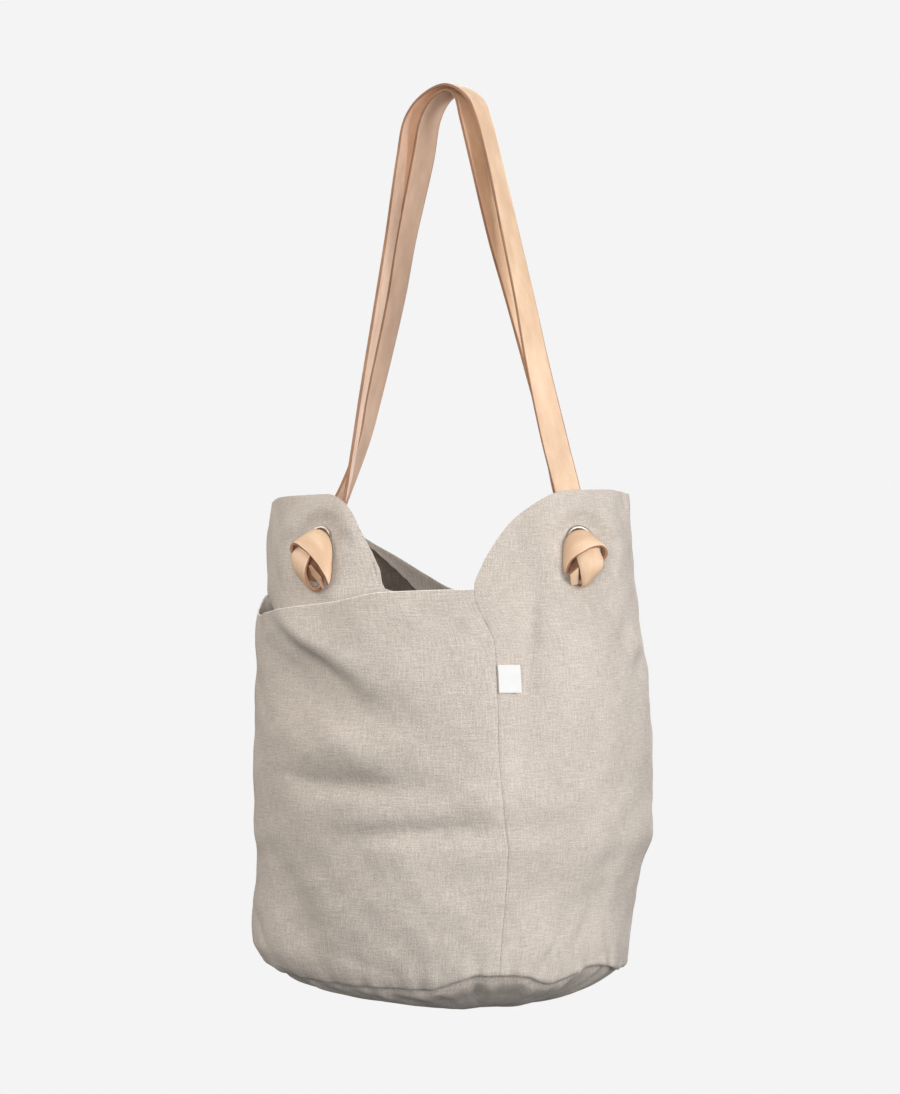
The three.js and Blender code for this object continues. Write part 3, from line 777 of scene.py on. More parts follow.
class Sock:
    """A shader socket that takes arithmetic, so that node maths reads as maths."""

    VALUE_KINDS = {"VALUE", "INT", "BOOLEAN"}
    MIX_SHARE = 0
    MIX_FIRST = 6
    MIX_SECOND = 7
    MIX_RESULT = 2

    def __init__(self, graph: "Graph", socket: bpy.types.NodeSocket) -> None:
        """Wrap an output socket of a graph."""
        self.graph = graph
        self.socket = socket

    def _maths(self, word: str, *operands: object) -> "Sock":
        """Make one maths node.

        Args:
            word: Name of the operation.
            operands: Sockets and numbers, in order.

        Returns:
            The node's result.
        """
        plain = all(not isinstance(o, Sock) or o.socket.type in self.VALUE_KINDS for o in operands)
        kind = "ShaderNodeMath" if plain else "ShaderNodeVectorMath"
        return self.graph.node(kind, {"operation": word}, dict(enumerate(operands)))

    def __add__(self, other: object) -> "Sock":
        """Add."""
        return self._maths("ADD", self, other)

    def __radd__(self, other: object) -> "Sock":
        """Add to a number."""
        return self._maths("ADD", other, self)

    def __sub__(self, other: object) -> "Sock":
        """Take away."""
        return self._maths("SUBTRACT", self, other)

    def __rsub__(self, other: object) -> "Sock":
        """Take from a number."""
        return self._maths("SUBTRACT", other, self)

    def __mul__(self, other: object) -> "Sock":
        """Multiply."""
        return self._maths("MULTIPLY", self, other)

    def __rmul__(self, other: object) -> "Sock":
        """Multiply a number."""
        return self._maths("MULTIPLY", other, self)

    def __truediv__(self, other: object) -> "Sock":
        """Divide."""
        return self._maths("DIVIDE", self, other)

    def __rtruediv__(self, other: object) -> "Sock":
        """Divide a number."""
        return self._maths("DIVIDE", other, self)

    def sine(self) -> "Sock":
        """Sine of an angle in radians."""
        return self._maths("SINE", self)

    def ramp(self, low: float, high: float, start: float = 0.0, end: float = 1.0) -> "Sock":
        """Map the range from low to high smoothly onto the range from start to end."""
        inputs = {"Value": self, "From Min": low, "From Max": high, "To Min": start, "To Max": end}
        return self.graph.node("ShaderNodeMapRange", {"interpolation_type": "SMOOTHSTEP"}, inputs)

    def mix(self, first: object, second: object) -> "Sock":
        """Mix two colours with this value as the share of the second."""
        inputs = {self.MIX_SHARE: self, self.MIX_FIRST: first, self.MIX_SECOND: second}
        return self.graph.node("ShaderNodeMix", {"data_type": "RGBA"}, inputs, self.MIX_RESULT)


class Graph:
    """Node tree of one material, with its shader."""

    NOISE_ROUGHNESS = 0.55

    def __init__(self, name: str) -> None:
        """Start an empty material.

        Args:
            name: Name of the material.
        """
        self.material = bpy.data.materials.new(name)
        self.material.use_nodes = True
        self.tree = self.material.node_tree
        self.tree.nodes.clear()
        self.shader = self.tree.nodes.new("ShaderNodeBsdfPrincipled")
        finish = self.tree.nodes.new("ShaderNodeOutputMaterial")
        self.tree.links.new(self.shader.outputs[0], finish.inputs["Surface"])

    def node(self, kind: str, settings: dict, inputs: dict, output: int | str = 0) -> Sock:
        """Make one node.

        Args:
            kind: Type of the node.
            settings: Properties of the node.
            inputs: Values or sockets by input name or number.
            output: Which output to hand back.

        Returns:
            The wrapped output.
        """
        made = self.tree.nodes.new(kind)
        for key, value in settings.items():
            setattr(made, key, value)
        for key, value in inputs.items():
            self.feed(made.inputs[key], value)
        return Sock(self, made.outputs[output])

    def feed(self, target: bpy.types.NodeSocket, value: object) -> None:
        """Link a socket into an input, or set its value.

        Args:
            target: Input to fill.
            value: Wrapped socket, number or colour.
        """
        if isinstance(value, Sock):
            self.tree.links.new(value.socket, target)
        else:
            target.default_value = value

    def drive(self, **inputs: object) -> None:
        """Fill inputs of the shader by name; underscores stand for blanks."""
        for key, value in inputs.items():
            self.feed(self.shader.inputs[key.replace("_", " ")], value)

    def weave_axes(self) -> tuple[Sock, Sock]:
        """Read the cloth or leather coordinates in millimetres.

        Returns:
            The place along and the place across.
        """
        place = self.node("ShaderNodeUVMap", {"uv_map": WEAVE_MAP}, {})
        parts = self.node("ShaderNodeSeparateXYZ", {}, {0: place})
        other = Sock(self, parts.socket.node.outputs[1])
        return parts * MM_PER_UV, other * MM_PER_UV

    def noise(self, along: Sock, across: Sock, detail: float = 2.0, layer: float = 0.0) -> Sock:
        """Noise over two coordinates with features about one unit wide.

        Args:
            along: First coordinate.
            across: Second coordinate.
            detail: How many finer octaves are added.
            layer: Third coordinate, to tell layers apart.

        Returns:
            Noise from 0 to 1.
        """
        place = self.node("ShaderNodeCombineXYZ", {}, {0: along, 1: across, 2: layer})
        inputs = {"Vector": place, "Scale": 1.0, "Detail": detail, "Roughness": self.NOISE_ROUGHNESS}
        return self.node("ShaderNodeTexNoise", {"noise_dimensions": "3D"}, inputs)

    def bump(self, height: Sock, strength: float, distance: float) -> None:
        """Drive the shader's normal from a height, by a share and by a distance in metres."""
        inputs = {"Strength": strength, "Distance": distance, "Height": height}
        self.drive(Normal=self.node("ShaderNodeBump", {}, inputs))


@dataclass(frozen=True)
class LinenFinish:
    """Slubby plain-woven linen, with its lengths in millimetres."""

    name: str
    dark: Colour
    light: Colour
    thread: float = 0.6
    yarn_length: float = 11.0
    yarn_width: float = 0.8
    slub_length: float = 26.0
    slub_width: float = 0.8
    speckle_size: float = 1.0
    patch_size: Span = (50.0, 65.0)
    weft_slubs: Span = (0.6, 0.78)
    warp_slubs: Span = (0.62, 0.8)
    yarn_share: float = 0.42
    speckle_share: float = 0.7
    patch_share: float = 0.16
    slub_share: float = 0.14
    tone_span: Span = (0.6, 1.12)
    roughness: Span = (0.98, 0.88)
    sheen: float = 0.12
    sheen_roughness: float = 0.6
    specular: float = 0.2
    yarn_relief: float = 0.3
    thread_relief: float = 0.25
    relief_strength: float = 0.3
    relief_height: float = 0.0004

    def make(self) -> bpy.types.Material:
        """Make the material.

        Returns:
            The linen material.
        """
        graph = Graph(self.name)
        along, across = graph.weave_axes()
        weft = graph.noise(along / self.yarn_length, across / self.yarn_width, layer=1.0)
        warp = graph.noise(along / self.yarn_width, across / self.yarn_length, layer=2.0)
        weft_slubs = graph.noise(along / self.slub_length, across / self.slub_width, detail=1.0, layer=5.0)
        warp_slubs = graph.noise(along / self.slub_width, across / self.slub_length, detail=1.0, layer=6.0)
        slubs = weft_slubs.ramp(*self.weft_slubs) + warp_slubs.ramp(*self.warp_slubs)
        speckle = graph.noise(along / self.speckle_size, across / self.speckle_size, layer=3.0)
        patch = graph.noise(along / self.patch_size[0], across / self.patch_size[1], detail=1.0, layer=4.0)
        pitch = 2 * math.pi / self.thread
        threads = ((along * pitch).sine() + (across * pitch).sine()) * 0.25 + 0.5
        yarns = weft + warp
        tone = yarns * self.yarn_share + speckle * self.speckle_share
        tone = tone + patch * self.patch_share + slubs * self.slub_share
        graph.drive(Base_Color=tone.ramp(*self.tone_span).mix(self.dark, self.light))
        graph.drive(Roughness=tone.ramp(*self.tone_span, *self.roughness))
        graph.drive(Sheen_Weight=self.sheen, Sheen_Roughness=self.sheen_roughness)
        graph.drive(Specular_IOR_Level=self.specular)
        relief = (yarns + slubs) * self.yarn_relief + threads * self.thread_relief
        graph.bump(relief, self.relief_strength, self.relief_height)
        return graph.material


class LeatherFace(Enum):
    """Faces of a cut leather strap, with the numbers of their materials."""

    GRAIN = 0
    FLESH = 1
    # EDGE also colours the knots' cores all over, as painted shade
    EDGE = 2


@dataclass(frozen=True)
class LeatherFinish:
    """One face of a vegetable-tanned strap, with its lengths in millimetres."""

    name: str
    dark: Colour
    light: Colour
    roughness: float
    grain: float
    stripes: float = 0.0
    cloud_size: Span = (30.0, 12.0)
    fibre_size: Span = (9.0, 0.35)
    cloud_share: float = 0.7
    pore_share: float = 0.3
    fibre_share: float = 0.1
    stripe_share: float = 0.6
    tone_span: Span = (0.35, 0.85)
    pore_span: Span = (0.2, 0.8)
    roughness_spread: Span = (-0.06, 0.08)
    specular: float = 0.35
    fibre_relief: float = 0.15
    relief_strength: float = 0.25
    relief_height: float = 0.0004

    def make(self) -> bpy.types.Material:
        """Make the material.

        Returns:
            The leather material.
        """
        graph = Graph(self.name)
        along, across = graph.weave_axes()
        cloud = graph.noise(along / self.cloud_size[0], across / self.cloud_size[1], layer=1.0)
        pores = graph.noise(along / self.grain, across / self.grain, detail=3.0, layer=2.0)
        fibres = graph.noise(along / self.fibre_size[0], across / self.fibre_size[1], layer=3.0)
        smooth = 1.0 - self.stripes
        tone = cloud * self.cloud_share + pores * (self.pore_share * smooth)
        tone = tone + fibres * (self.fibre_share + self.stripe_share * self.stripes)
        graph.drive(Base_Color=tone.ramp(*self.tone_span).mix(self.dark, self.light))
        least, most = (self.roughness + change for change in self.roughness_spread)
        graph.drive(Roughness=pores.ramp(*self.pore_span, least, most), Specular_IOR_Level=self.specular)
        relief = pores * smooth + fibres * (self.fibre_relief + self.stripes)
        graph.bump(relief, self.relief_strength, self.relief_height)
        return graph.material


@dataclass(frozen=True)
class MetalFinish:
    """Plain nickel with fine handling marks, with its lengths in millimetres."""

    name: str = "eyelet_nickel"
    tone: Colour = (0.46, 0.41, 0.37, 1.0)
    worn: Colour = (0.33, 0.29, 0.26, 1.0)
    mark_size: Span = (1.5, 0.25)
    cloud_size: Span = (6.0, 4.0)
    tone_span: Span = (0.35, 0.75)
    mark_span: Span = (0.3, 0.7)
    roughness: Span = (0.4, 0.48)

    def make(self) -> bpy.types.Material:
        """Make the material.

        Returns:
            The metal material.
        """
        graph = Graph(self.name)
        along, across = graph.weave_axes()
        marks = graph.noise(along / self.mark_size[0], across / self.mark_size[1], detail=3.0, layer=1.0)
        cloud = graph.noise(along / self.cloud_size[0], across / self.cloud_size[1], layer=2.0)
        graph.drive(Base_Color=cloud.ramp(*self.tone_span).mix(self.tone, self.worn))
        graph.drive(Metallic=1.0, Roughness=marks.ramp(*self.mark_span, *self.roughness))
        return graph.material


@dataclass(frozen=True)
class TapeFinish:
    """Blank woven cotton tape, with its lengths in millimetres."""

    name: str = "label_tape"
    dark: Colour = (0.66, 0.66, 0.65, 1.0)
    light: Colour = (0.82, 0.82, 0.81, 1.0)
    rib: float = 0.5
    fleck_size: float = 0.6
    rib_share: float = 0.3
    fleck_share: float = 0.7
    tone_span: Span = (0.2, 0.7)
    rough_span: Span = (0.2, 0.8)
    roughness: Span = (0.95, 0.82)
    relief_strength: float = 0.3
    relief_height: float = 0.0003

    def make(self) -> bpy.types.Material:
        """Make the material.

        Returns:
            The tape material.
        """
        graph = Graph(self.name)
        along, across = graph.weave_axes()
        twill = ((along + across) * (2 * math.pi / self.rib)).sine() * 0.5 + 0.5
        fleck = graph.noise(along / self.fleck_size, across / self.fleck_size, layer=1.0)
        tone = twill * self.rib_share + fleck * self.fleck_share
        graph.drive(Base_Color=tone.ramp(*self.tone_span).mix(self.dark, self.light))
        graph.drive(Roughness=tone.ramp(*self.rough_span, *self.roughness))
        graph.bump(tone, self.relief_strength, self.relief_height)
        return graph.material


@dataclass(frozen=True)
class FloorFinish:
    """Pale matte floor with a faint glow."""

    name: str = "floor_pale"
    dark: Colour = (0.34, 0.34, 0.34, 1.0)
    light: Colour = (0.38, 0.38, 0.38, 1.0)
    cloud_scale: float = 3.0
    cloud_detail: float = 2.0
    tone_span: Span = (0.3, 0.7)
    roughness: Span = (0.8, 0.9)
    glow: float = 0.5
    glow_colour: Colour = (1.0, 1.0, 1.0, 1.0)

    def make(self) -> bpy.types.Material:
        """Make the material.

        Returns:
            The floor material.
        """
        graph = Graph(self.name)
        place = graph.node("ShaderNodeTexCoord", {}, {}, output="Object")
        inputs = {"Vector": place, "Scale": self.cloud_scale, "Detail": self.cloud_detail}
        cloud = graph.node("ShaderNodeTexNoise", {}, inputs)
        graph.drive(Base_Color=cloud.ramp(*self.tone_span).mix(self.dark, self.light))
        graph.drive(Roughness=cloud.ramp(*self.tone_span, *self.roughness))
        graph.drive(Emission_Color=self.glow_colour, Emission_Strength=self.glow)
        return graph.material


class Sheet:
    """Quad mesh under construction, in millimetres."""

    def __init__(self) -> None:
        """Start with no points."""
        self.points: list[Array] = []
        self.maps: list[Array] = []
        self.quads: list[Array] = []
        self.kinds: list[Array] = []
        self.count = 0

    def add_points(self, points: Array, maps: Array) -> Array:
        """Add a grid of points.

        Args:
            points: Places, with x, y and z in the last axis.
            maps: Weave coordinates of the same grid.

        Returns:
            The numbers of the points, in the grid's shape.
        """
        shape = points.shape[:-1]
        size = int(np.prod(shape))
        self.points.append(points.reshape(-1, 3))
        self.maps.append(maps.reshape(-1, 2))
        numbers = np.arange(self.count, self.count + size).reshape(shape)
        self.count += size
        return numbers

    def add_quads(self, a: Array, b: Array, c: Array, d: Array, kind: int = 0) -> None:
        """Add quads from four matching lists of point numbers.

        Args:
            a: First corners.
            b: Second corners.
            c: Third corners.
            d: Fourth corners.
            kind: Number of the material.
        """
        quads = np.stack([np.ravel(a), np.ravel(b), np.ravel(c), np.ravel(d)], axis=-1)
        self.quads.append(quads)
        self.kinds.append(np.full(len(quads), kind))

    def add_grid(self, grid: Array, kind: int = 0, keep: Array | None = None) -> None:
        """Add the quads of a grid of point numbers.

        Args:
            grid: Point numbers, columns first.
            kind: Number of the material.
            keep: Which cells are made; all of them if left out.
        """
        kept = np.ones((grid.shape[0] - 1, grid.shape[1] - 1), bool) if keep is None else keep
        a = grid[:-1, :-1][kept]
        b = grid[1:, :-1][kept]
        c = grid[1:, 1:][kept]
        d = grid[:-1, 1:][kept]
        self.add_quads(a, b, c, d, kind)

    def add_skirt(self, front: Array, back: Array) -> None:
        """Close the bottom and the two ends between two faces.

        Args:
            front: Point numbers of the front face, columns first.
            back: Point numbers of the back face, in the same order.
        """
        self.add_quads(front[1:, 0], front[:-1, 0], back[:-1, 0], back[1:, 0])
        self.add_quads(front[0, :-1], front[0, 1:], back[0, 1:], back[0, :-1])
        self.add_quads(front[-1, 1:], front[-1, :-1], back[-1, :-1], back[-1, 1:])

    def make(
        self,
        name: str,
        materials: Sequence[bpy.types.Material],
        crease: float = 60.0,
    ) -> bpy.types.Object:
        """Make the object.

        Args:
            name: Name of the object.
            materials: Materials by number.
            crease: Angle above which an edge stays sharp, in degrees.

        Returns:
            The new object, linked to the scene.
        """
        quads = np.concatenate(self.quads)
        maps = np.concatenate(self.maps) / MM_PER_UV
        mesh = bpy.data.meshes.new(name)
        mesh.from_pydata((np.concatenate(self.points) * MM).tolist(), [], quads.tolist())
        for material in materials:
            mesh.materials.append(material)
        mesh.polygons.foreach_set("material_index", np.concatenate(self.kinds).astype(np.int32))
        layer = mesh.uv_layers.new(name=WEAVE_MAP)
        layer.data.foreach_set("uv", maps[quads.ravel()].ravel().astype(np.float32))
        mesh.shade_smooth()
        mesh.set_sharp_from_angle(angle=math.radians(crease))
        mesh.validate()
        piece = bpy.data.objects.new(name, mesh)
        bpy.context.scene.collection.objects.link(piece)
        return piece


class Piece(Protocol):
    """A piece of the bag that can be built and then dressed."""

    def build(self) -> None:
        """Build the piece's mesh."""

    def dress(self) -> None:
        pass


def settle(piece: bpy.types.Object, node: str) -> None:
    """Let a piece ride on the bag and stand for its node.

    Args:
        piece: The dressed piece.
        node: The node that the piece stands for.
    """
    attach(piece, BODY)
    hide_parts(node)
    LOG.info("%s: %d faces", piece.name, len(piece.data.polygons))


class ClothFace(Enum):
    """Faces of a piece of cloth, with the numbers of their materials."""

    OUTSIDE = 0
    # INSIDE takes the second material: darker linen as painted shade on the panels and base, paler linen as
    # painted light on the pocket
    INSIDE = 1


@dataclass(frozen=True)
class SeamForm:
    """Puckers, rolls and grooves of the cloth beside its seams, in millimetres."""

    calm: Span = (0.0, 16.0)
    pucker_height: float = 0.85
    pucker_reach: float = 11.0
    pucker_wave: float = 23.0
    pucker_sway: float = 1.3
    pucker_sway_wave: float = 31.0
    small_share: float = 0.7
    small_wave: float = 13.7
    small_phase: float = 0.8
    roll_height: float = 0.7
    roll_place: float = 2.5
    roll_breadth: float = 3.0
    edge_depth: float = 0.5
    edge_breadth: float = 1.1
    gather_height: float = 0.25
    gather_wave: float = 11.5
    gather_sway: float = 0.6
    gather_sway_wave: float = 17.0
    gather_reach: float = 6.0
    gather_start: Span = (0.0, 2.0)
    groove_depth: float = 0.35
    groove_breadth: float = 0.9
    sink_reach: float = 5.0

    def beside_base(self, arc: Array, above: Array) -> Array:
        """Shape of the wall above the base seam.

        Args:
            arc: Place along the seam.
            above: Height above the seam.

        Returns:
            Outward shift in millimetres.
        """
        sway = self.pucker_sway * np.sin(arc / self.pucker_sway_wave)
        pucker = np.sin(2 * math.pi * arc / self.pucker_wave + sway)
        pucker = pucker + self.small_share * np.sin(2 * math.pi * arc / self.small_wave + self.small_phase)
        pucker = self.pucker_height * pucker * np.exp(-np.maximum(above, 0) / self.pucker_reach)
        roll = self.roll_height * np.exp(-(((above - self.roll_place) / self.roll_breadth) ** 2))
        return pucker + roll - self.edge_depth * np.exp(-((above / self.edge_breadth) ** 2))

    def beside_seam(self, height: Array, to_seam: Array) -> Array:
        """Shape of the wall beside its upright seams.

        Args:
            height: Height of each place.
            to_seam: Distance to the nearest seam.

        Returns:
            Outward shift in millimetres.
        """
        sway = self.gather_sway * np.sin(height / self.gather_sway_wave)
        gather = self.gather_height * np.sin(2 * math.pi * height / self.gather_wave + sway)
        gather = gather * np.exp(-to_seam / self.gather_reach) * smoothstep(*self.gather_start, to_seam)
        groove = np.exp(-((to_seam / self.groove_breadth) ** 2)) + np.exp(-to_seam / self.sink_reach)
        return gather - self.groove_depth * groove


@dataclass(frozen=True)
class EarForm:
    """How an ear lies flat round its eyelet and bulges above it, in millimetres."""

    flat: Span = (30.0, 48.0)
    flat_heights: Span = (-384.0, -362.0)
    reach: float = 26.0
    bulge_height: float = 4.2
    bulge_start: Span = (13.0, 25.0)
    bulge_end: Span = (25.0, 44.0)
    bulge_rise: Span = (-4.0, 12.0)
    calm: Span = (12.0, 26.0)
    hole: float = 10.0
    hole_reach: float = 8.0


SEAM_FORM = SeamForm()
EAR = EarForm()


@dataclass
class ClothPanel:
    """An upright piece of linen from base seam to rim, with or without a hem folded to its inside."""

    name: str
    side: Side
    inset: float
    relief: Relief
    rim: Profile
    hem: Table | None
    materials: Sequence[bpy.types.Material]
    flat: Span
    area: float
    columns: int = 200
    rows: int = 165
    hem_rows: int = 6
    thickness: float = 1.1
    hem_thickness: float = 0.9
    hem_gap: float = 0.35
    seam_gap: float = 0.16
    piece: bpy.types.Object | None = field(default=None, init=False)

    CROWDING = 0.6
    RIM_ARC = 4
    RIM_CROWN = 0.9
    HEM_TOP = 1.2
    HEM_CURL = 1.3
    HEM_WAVES = ((0.5, 2.1, 0.0), (0.4, 5.3, 1.0))

    def _places(self) -> tuple[Array, Array, Array]:
        """Angle and height of the wall's grid, columns first.

        Returns:
            Angles, heights and angles at the belt.
        """
        even = np.linspace(0, 1, self.columns + 1)
        share = even - self.CROWDING * np.sin(2 * math.pi * even) / (2 * math.pi)
        belt = self._turn(share, np.full_like(share, Cloth.BELT))
        bottom = Cloth.base_height(belt)
        top = self.rim(belt)
        level = np.linspace(0, 1, self.rows + 1)
        height = bottom[:, None] + (top - bottom)[:, None] * level[None, :]
        angle = self._turn(share[:, None], height)
        return angle, height, belt

    def _turn(self, share: Array, height: Array) -> Array:
        """Angle at a share of the way between the seams.

        Args:
            share: Share of the way, 0 to 1.
            height: Height, because the seams slant.

        Returns:
            The angles.
        """
        gap = self.seam_gap / 2 / MM_PER_DEGREE
        front = Cloth.seam_angle(height)
        if self.side is Side.RIGHT:
            start = front + gap
            end = BACK_TURN - front - gap
        else:
            start = -BACK_TURN - front + gap
            end = front - gap
        return start + (end - start) * share

    def _eyelets(self) -> list[EyeletPlace]:
        """Eyelets in this piece; a piece without a hem has none."""
        return [place for place in PLACES.values() if place.side is self.side and self.hem is not None]

    @staticmethod
    def detail(angle: Array, height: Array) -> Array:
        """Small shapes of the cloth: creases, waves, seam rolls and puckers.

        Args:
            angle: Degrees round the bag.
            height: Height of each place.

        Returns:
            Outward shift in millimetres.
        """
        front = Cloth.seam_angle(height)
        to_front = np.abs(wrap_turn(angle - front)) * MM_PER_DEGREE
        to_back = np.abs(wrap_turn(angle - BACK_TURN + front)) * MM_PER_DEGREE
        to_seam = np.minimum(to_front, to_back)
        above = height - Cloth.edge_height(angle, height)
        depth = Cloth.fold_depth(angle, height, CREASES) + Cloth.wave_depth(angle, height)
        depth = depth * smoothstep(*SEAM_FORM.calm, to_seam)
        depth = depth + SEAM_FORM.beside_base(wrap_turn(angle) * MM_PER_DEGREE, above)
        return depth + SEAM_FORM.beside_seam(height, to_seam)

    def _layer(self, angle: Array, height: Array, depth: Array) -> Array:
        """Points of a layer that lies a depth behind the piece's outer face.

        Args:
            angle: Degrees round the bag.
            height: Height of each place.
            depth: Depth behind the outer face.

        Returns:
            Points in millimetres.
        """
        points = Cloth.point(angle, height, self.relief(angle, height) - self.inset - depth)
        calm = np.ones(depth.shape)
        for place in self._eyelets():
            deep, spread = place.reach(points)
            close = np.abs(deep) < EAR.reach
            flat = (1 - smoothstep(*EAR.flat, spread)) * close
            flat = flat * smoothstep(*EAR.flat_heights, points[..., 2])
            bulge = smoothstep(*EAR.bulge_start, spread) * (1 - smoothstep(*EAR.bulge_end, spread)) * close
            bulge = bulge * smoothstep(*EAR.bulge_rise, (points - place.centre) @ place.up)
            shift = (WALL / 2 - depth - deep) * flat + EAR.bulge_height * bulge
            points = points + place.out * shift[..., None]
            calm = calm * (1 - (1 - smoothstep(*EAR.calm, spread)) * close)
        detail = self.detail(angle, height) * calm
        points[..., :2] += Cloth.outward(angle, height) * detail[..., None]
        return points

    def _holes(self, outer: Array) -> tuple[Array, Array]:
        """Find the cells that the eyelets take.

        Args:
            outer: Points of the outer face.

        Returns:
            Which cells stay, and which points lie on a hole's border.
        """
        keep = np.ones((outer.shape[0] - 1, outer.shape[1] - 1), bool)
        middle = (outer[:-1, :-1] + outer[1:, :-1] + outer[1:, 1:] + outer[:-1, 1:]) / 4
        for place in self._eyelets():
            deep, spread = place.reach(middle)
            keep &= ~((spread < EAR.hole) & (np.abs(deep) < EAR.hole_reach))
        gone = np.zeros(outer.shape[:2], bool)
        stay = np.zeros(outer.shape[:2], bool)
        for i, j in ((0, 0), (1, 0), (1, 1), (0, 1)):
            columns = slice(i, outer.shape[0] - 1 + i)
            rows = slice(j, outer.shape[1] - 1 + j)
            gone[columns, rows] |= ~keep
            stay[columns, rows] |= keep
        return keep, gone & stay

    def _snap(self, points: Array, border: Array) -> None:
        """Move the border points of the holes onto their circles.

        Args:
            points: Points of a face; they are moved.
            border: Which points lie on a border.
        """
        for place in self._eyelets():
            deep, spread = place.reach(points)
            near = border & (spread < 2 * EAR.hole) & (np.abs(deep) < EAR.hole_reach)
            foot = place.centre + deep[near][:, None] * place.out
            points[near] = foot + unit(points[near] - foot) * EAR.hole

    def _hem_rows(self, angle: Array, height: Array, belt: Array) -> tuple[Array, Array, Array]:
        """Points of the hem's two faces, from the rim downwards.

        Args:
            angle: Angles of the rim.
            height: Heights of the rim.
            belt: Angles at the belt, which the hem's table is read at.

        Returns:
            Front face, back face and the drop below the rim.
        """
        share = np.linspace(0, 1, self.hem_rows + 1)
        width = self.hem.read("width", belt)
        lift = self.hem.read("lift", belt)[:, None] * share[None, :] ** self.HEM_CURL
        ragged = sum(high * np.sin(belt * rate + phase) for high, rate, phase in self.HEM_WAVES)
        drop = self.HEM_TOP + (width + ragged)[:, None] * share[None, :]
        turn = np.broadcast_to(angle[:, None], drop.shape)
        level = height[:, None] - drop
        back = self._layer(turn, level, self.thickness + self.hem_gap + lift)
        front = self._layer(turn, level, self.thickness + self.hem_gap + self.hem_thickness + lift)
        return front, back, drop

    def build(self) -> None:
        """Build the closed shell: outer face, rim, hem and inner face."""
        angle, height, belt = self._places()
        outer = self._layer(angle, height, np.zeros_like(angle))
        inner = self._layer(angle, height, np.full_like(angle, self.thickness))
        keep, border = self._holes(outer)
        self._snap(outer, border)
        self._snap(inner, border)
        maps = np.stack([np.broadcast_to(belt[:, None], angle.shape) * MM_PER_DEGREE, height], axis=-1)
        sheet = Sheet()
        front = sheet.add_points(outer, maps)
        strips = [front[:, -1:]]
        # Without a hem the rim takes the inside material, which on the pocket is the paler linen of painted
        # light
        rim_face = ClothFace.INSIDE
        if self.hem is None:
            self._arc(sheet, strips, outer[:, -1], inner[:, -1], maps[:, -1])
        else:
            rim_face = ClothFace.OUTSIDE
            hem_front, hem_back, drop = self._hem_rows(angle[:, -1], height[:, -1], belt)
            hem_maps = maps[:, -1:] + np.stack([np.zeros_like(drop), drop], axis=-1)
            self._arc(sheet, strips, outer[:, -1], hem_front[:, 0], maps[:, -1])
            strips.append(sheet.add_points(hem_front, hem_maps))
            tip = (hem_front[:, -1] + hem_back[:, -1]) / 2 - np.array([0, 0, self.hem_thickness / 2])
            strips.append(sheet.add_points(tip[:, None], hem_maps[:, -1:]))
            strips.append(sheet.add_points(hem_back[:, ::-1], hem_maps[:, ::-1]))
            inner[:, -1, 2] -= self.HEM_TOP
        back = sheet.add_points(inner[:, ::-1], maps[:, ::-1])
        strips.append(back[:, :1])
        rim = np.concatenate(strips, axis=1)
        sheet.add_grid(front, keep=keep)
        sheet.add_grid(rim, kind=rim_face.value)
        # The inside face takes the second material: darker linen as painted shade on the panels, paler linen
        # as painted light on the pocket
        sheet.add_grid(back, kind=ClothFace.INSIDE.value, keep=keep[:, ::-1])
        self._close(sheet, front, back[:, ::-1], rim, keep)
        self.piece = sheet.make(f"linen_{self.name}", self.materials)

    def _arc(self, sheet: Sheet, strips: list[Array], start: Array, end: Array, maps: Array) -> None:
        """Add the rounded top of the rim.

        Args:
            sheet: Mesh under construction.
            strips: Strips of point numbers along the rim; the arc is added to them.
            start: Outer edge of the rim.
            end: Inner edge of the rim.
            maps: Weave coordinates along the rim.
        """
        middle = (start + end) / 2
        radius = np.linalg.norm(end - start, axis=-1, keepdims=True) / 2
        for step in range(1, self.RIM_ARC):
            turn = math.pi * step / self.RIM_ARC
            points = middle + (start - middle) * math.cos(turn)
            points[:, 2:] += radius * self.RIM_CROWN * math.sin(turn)
            strips.append(sheet.add_points(points[:, None], maps[:, None]))

    @staticmethod
    def _close(sheet: Sheet, front: Array, back: Array, rim: Array, keep: Array) -> None:
        """Close the shell along its bottom, its two seams and its holes.

        Args:
            sheet: Mesh under construction.
            front: Point numbers of the outer face.
            back: Point numbers of the inner face, in the same order.
            rim: Point numbers of the strips over the rim.
            keep: Which cells of the faces were made.
        """
        sheet.add_skirt(front, back)
        last = rim.shape[1] - 1
        for k in range(last // 2):
            sheet.add_quads(rim[0, k], rim[0, k + 1], rim[0, last - k - 1], rim[0, last - k])
            sheet.add_quads(rim[-1, k + 1], rim[-1, k], rim[-1, last - k], rim[-1, last - k - 1])
        for i, j in zip(*np.nonzero(~keep)):
            corners = ((i, j), (i + 1, j), (i + 1, j + 1), (i, j + 1))
            beyond = ((i, j - 1), (i + 1, j), (i, j + 1), (i - 1, j))
            for k, neighbour in enumerate(beyond):
                if keep[neighbour]:
                    a = corners[k]
                    b = corners[(k + 1) % len(corners)]
                    sheet.add_quads(front[a], front[b], back[b], back[a])

    def dress(self) -> None:
        settle(self.piece, self.name)


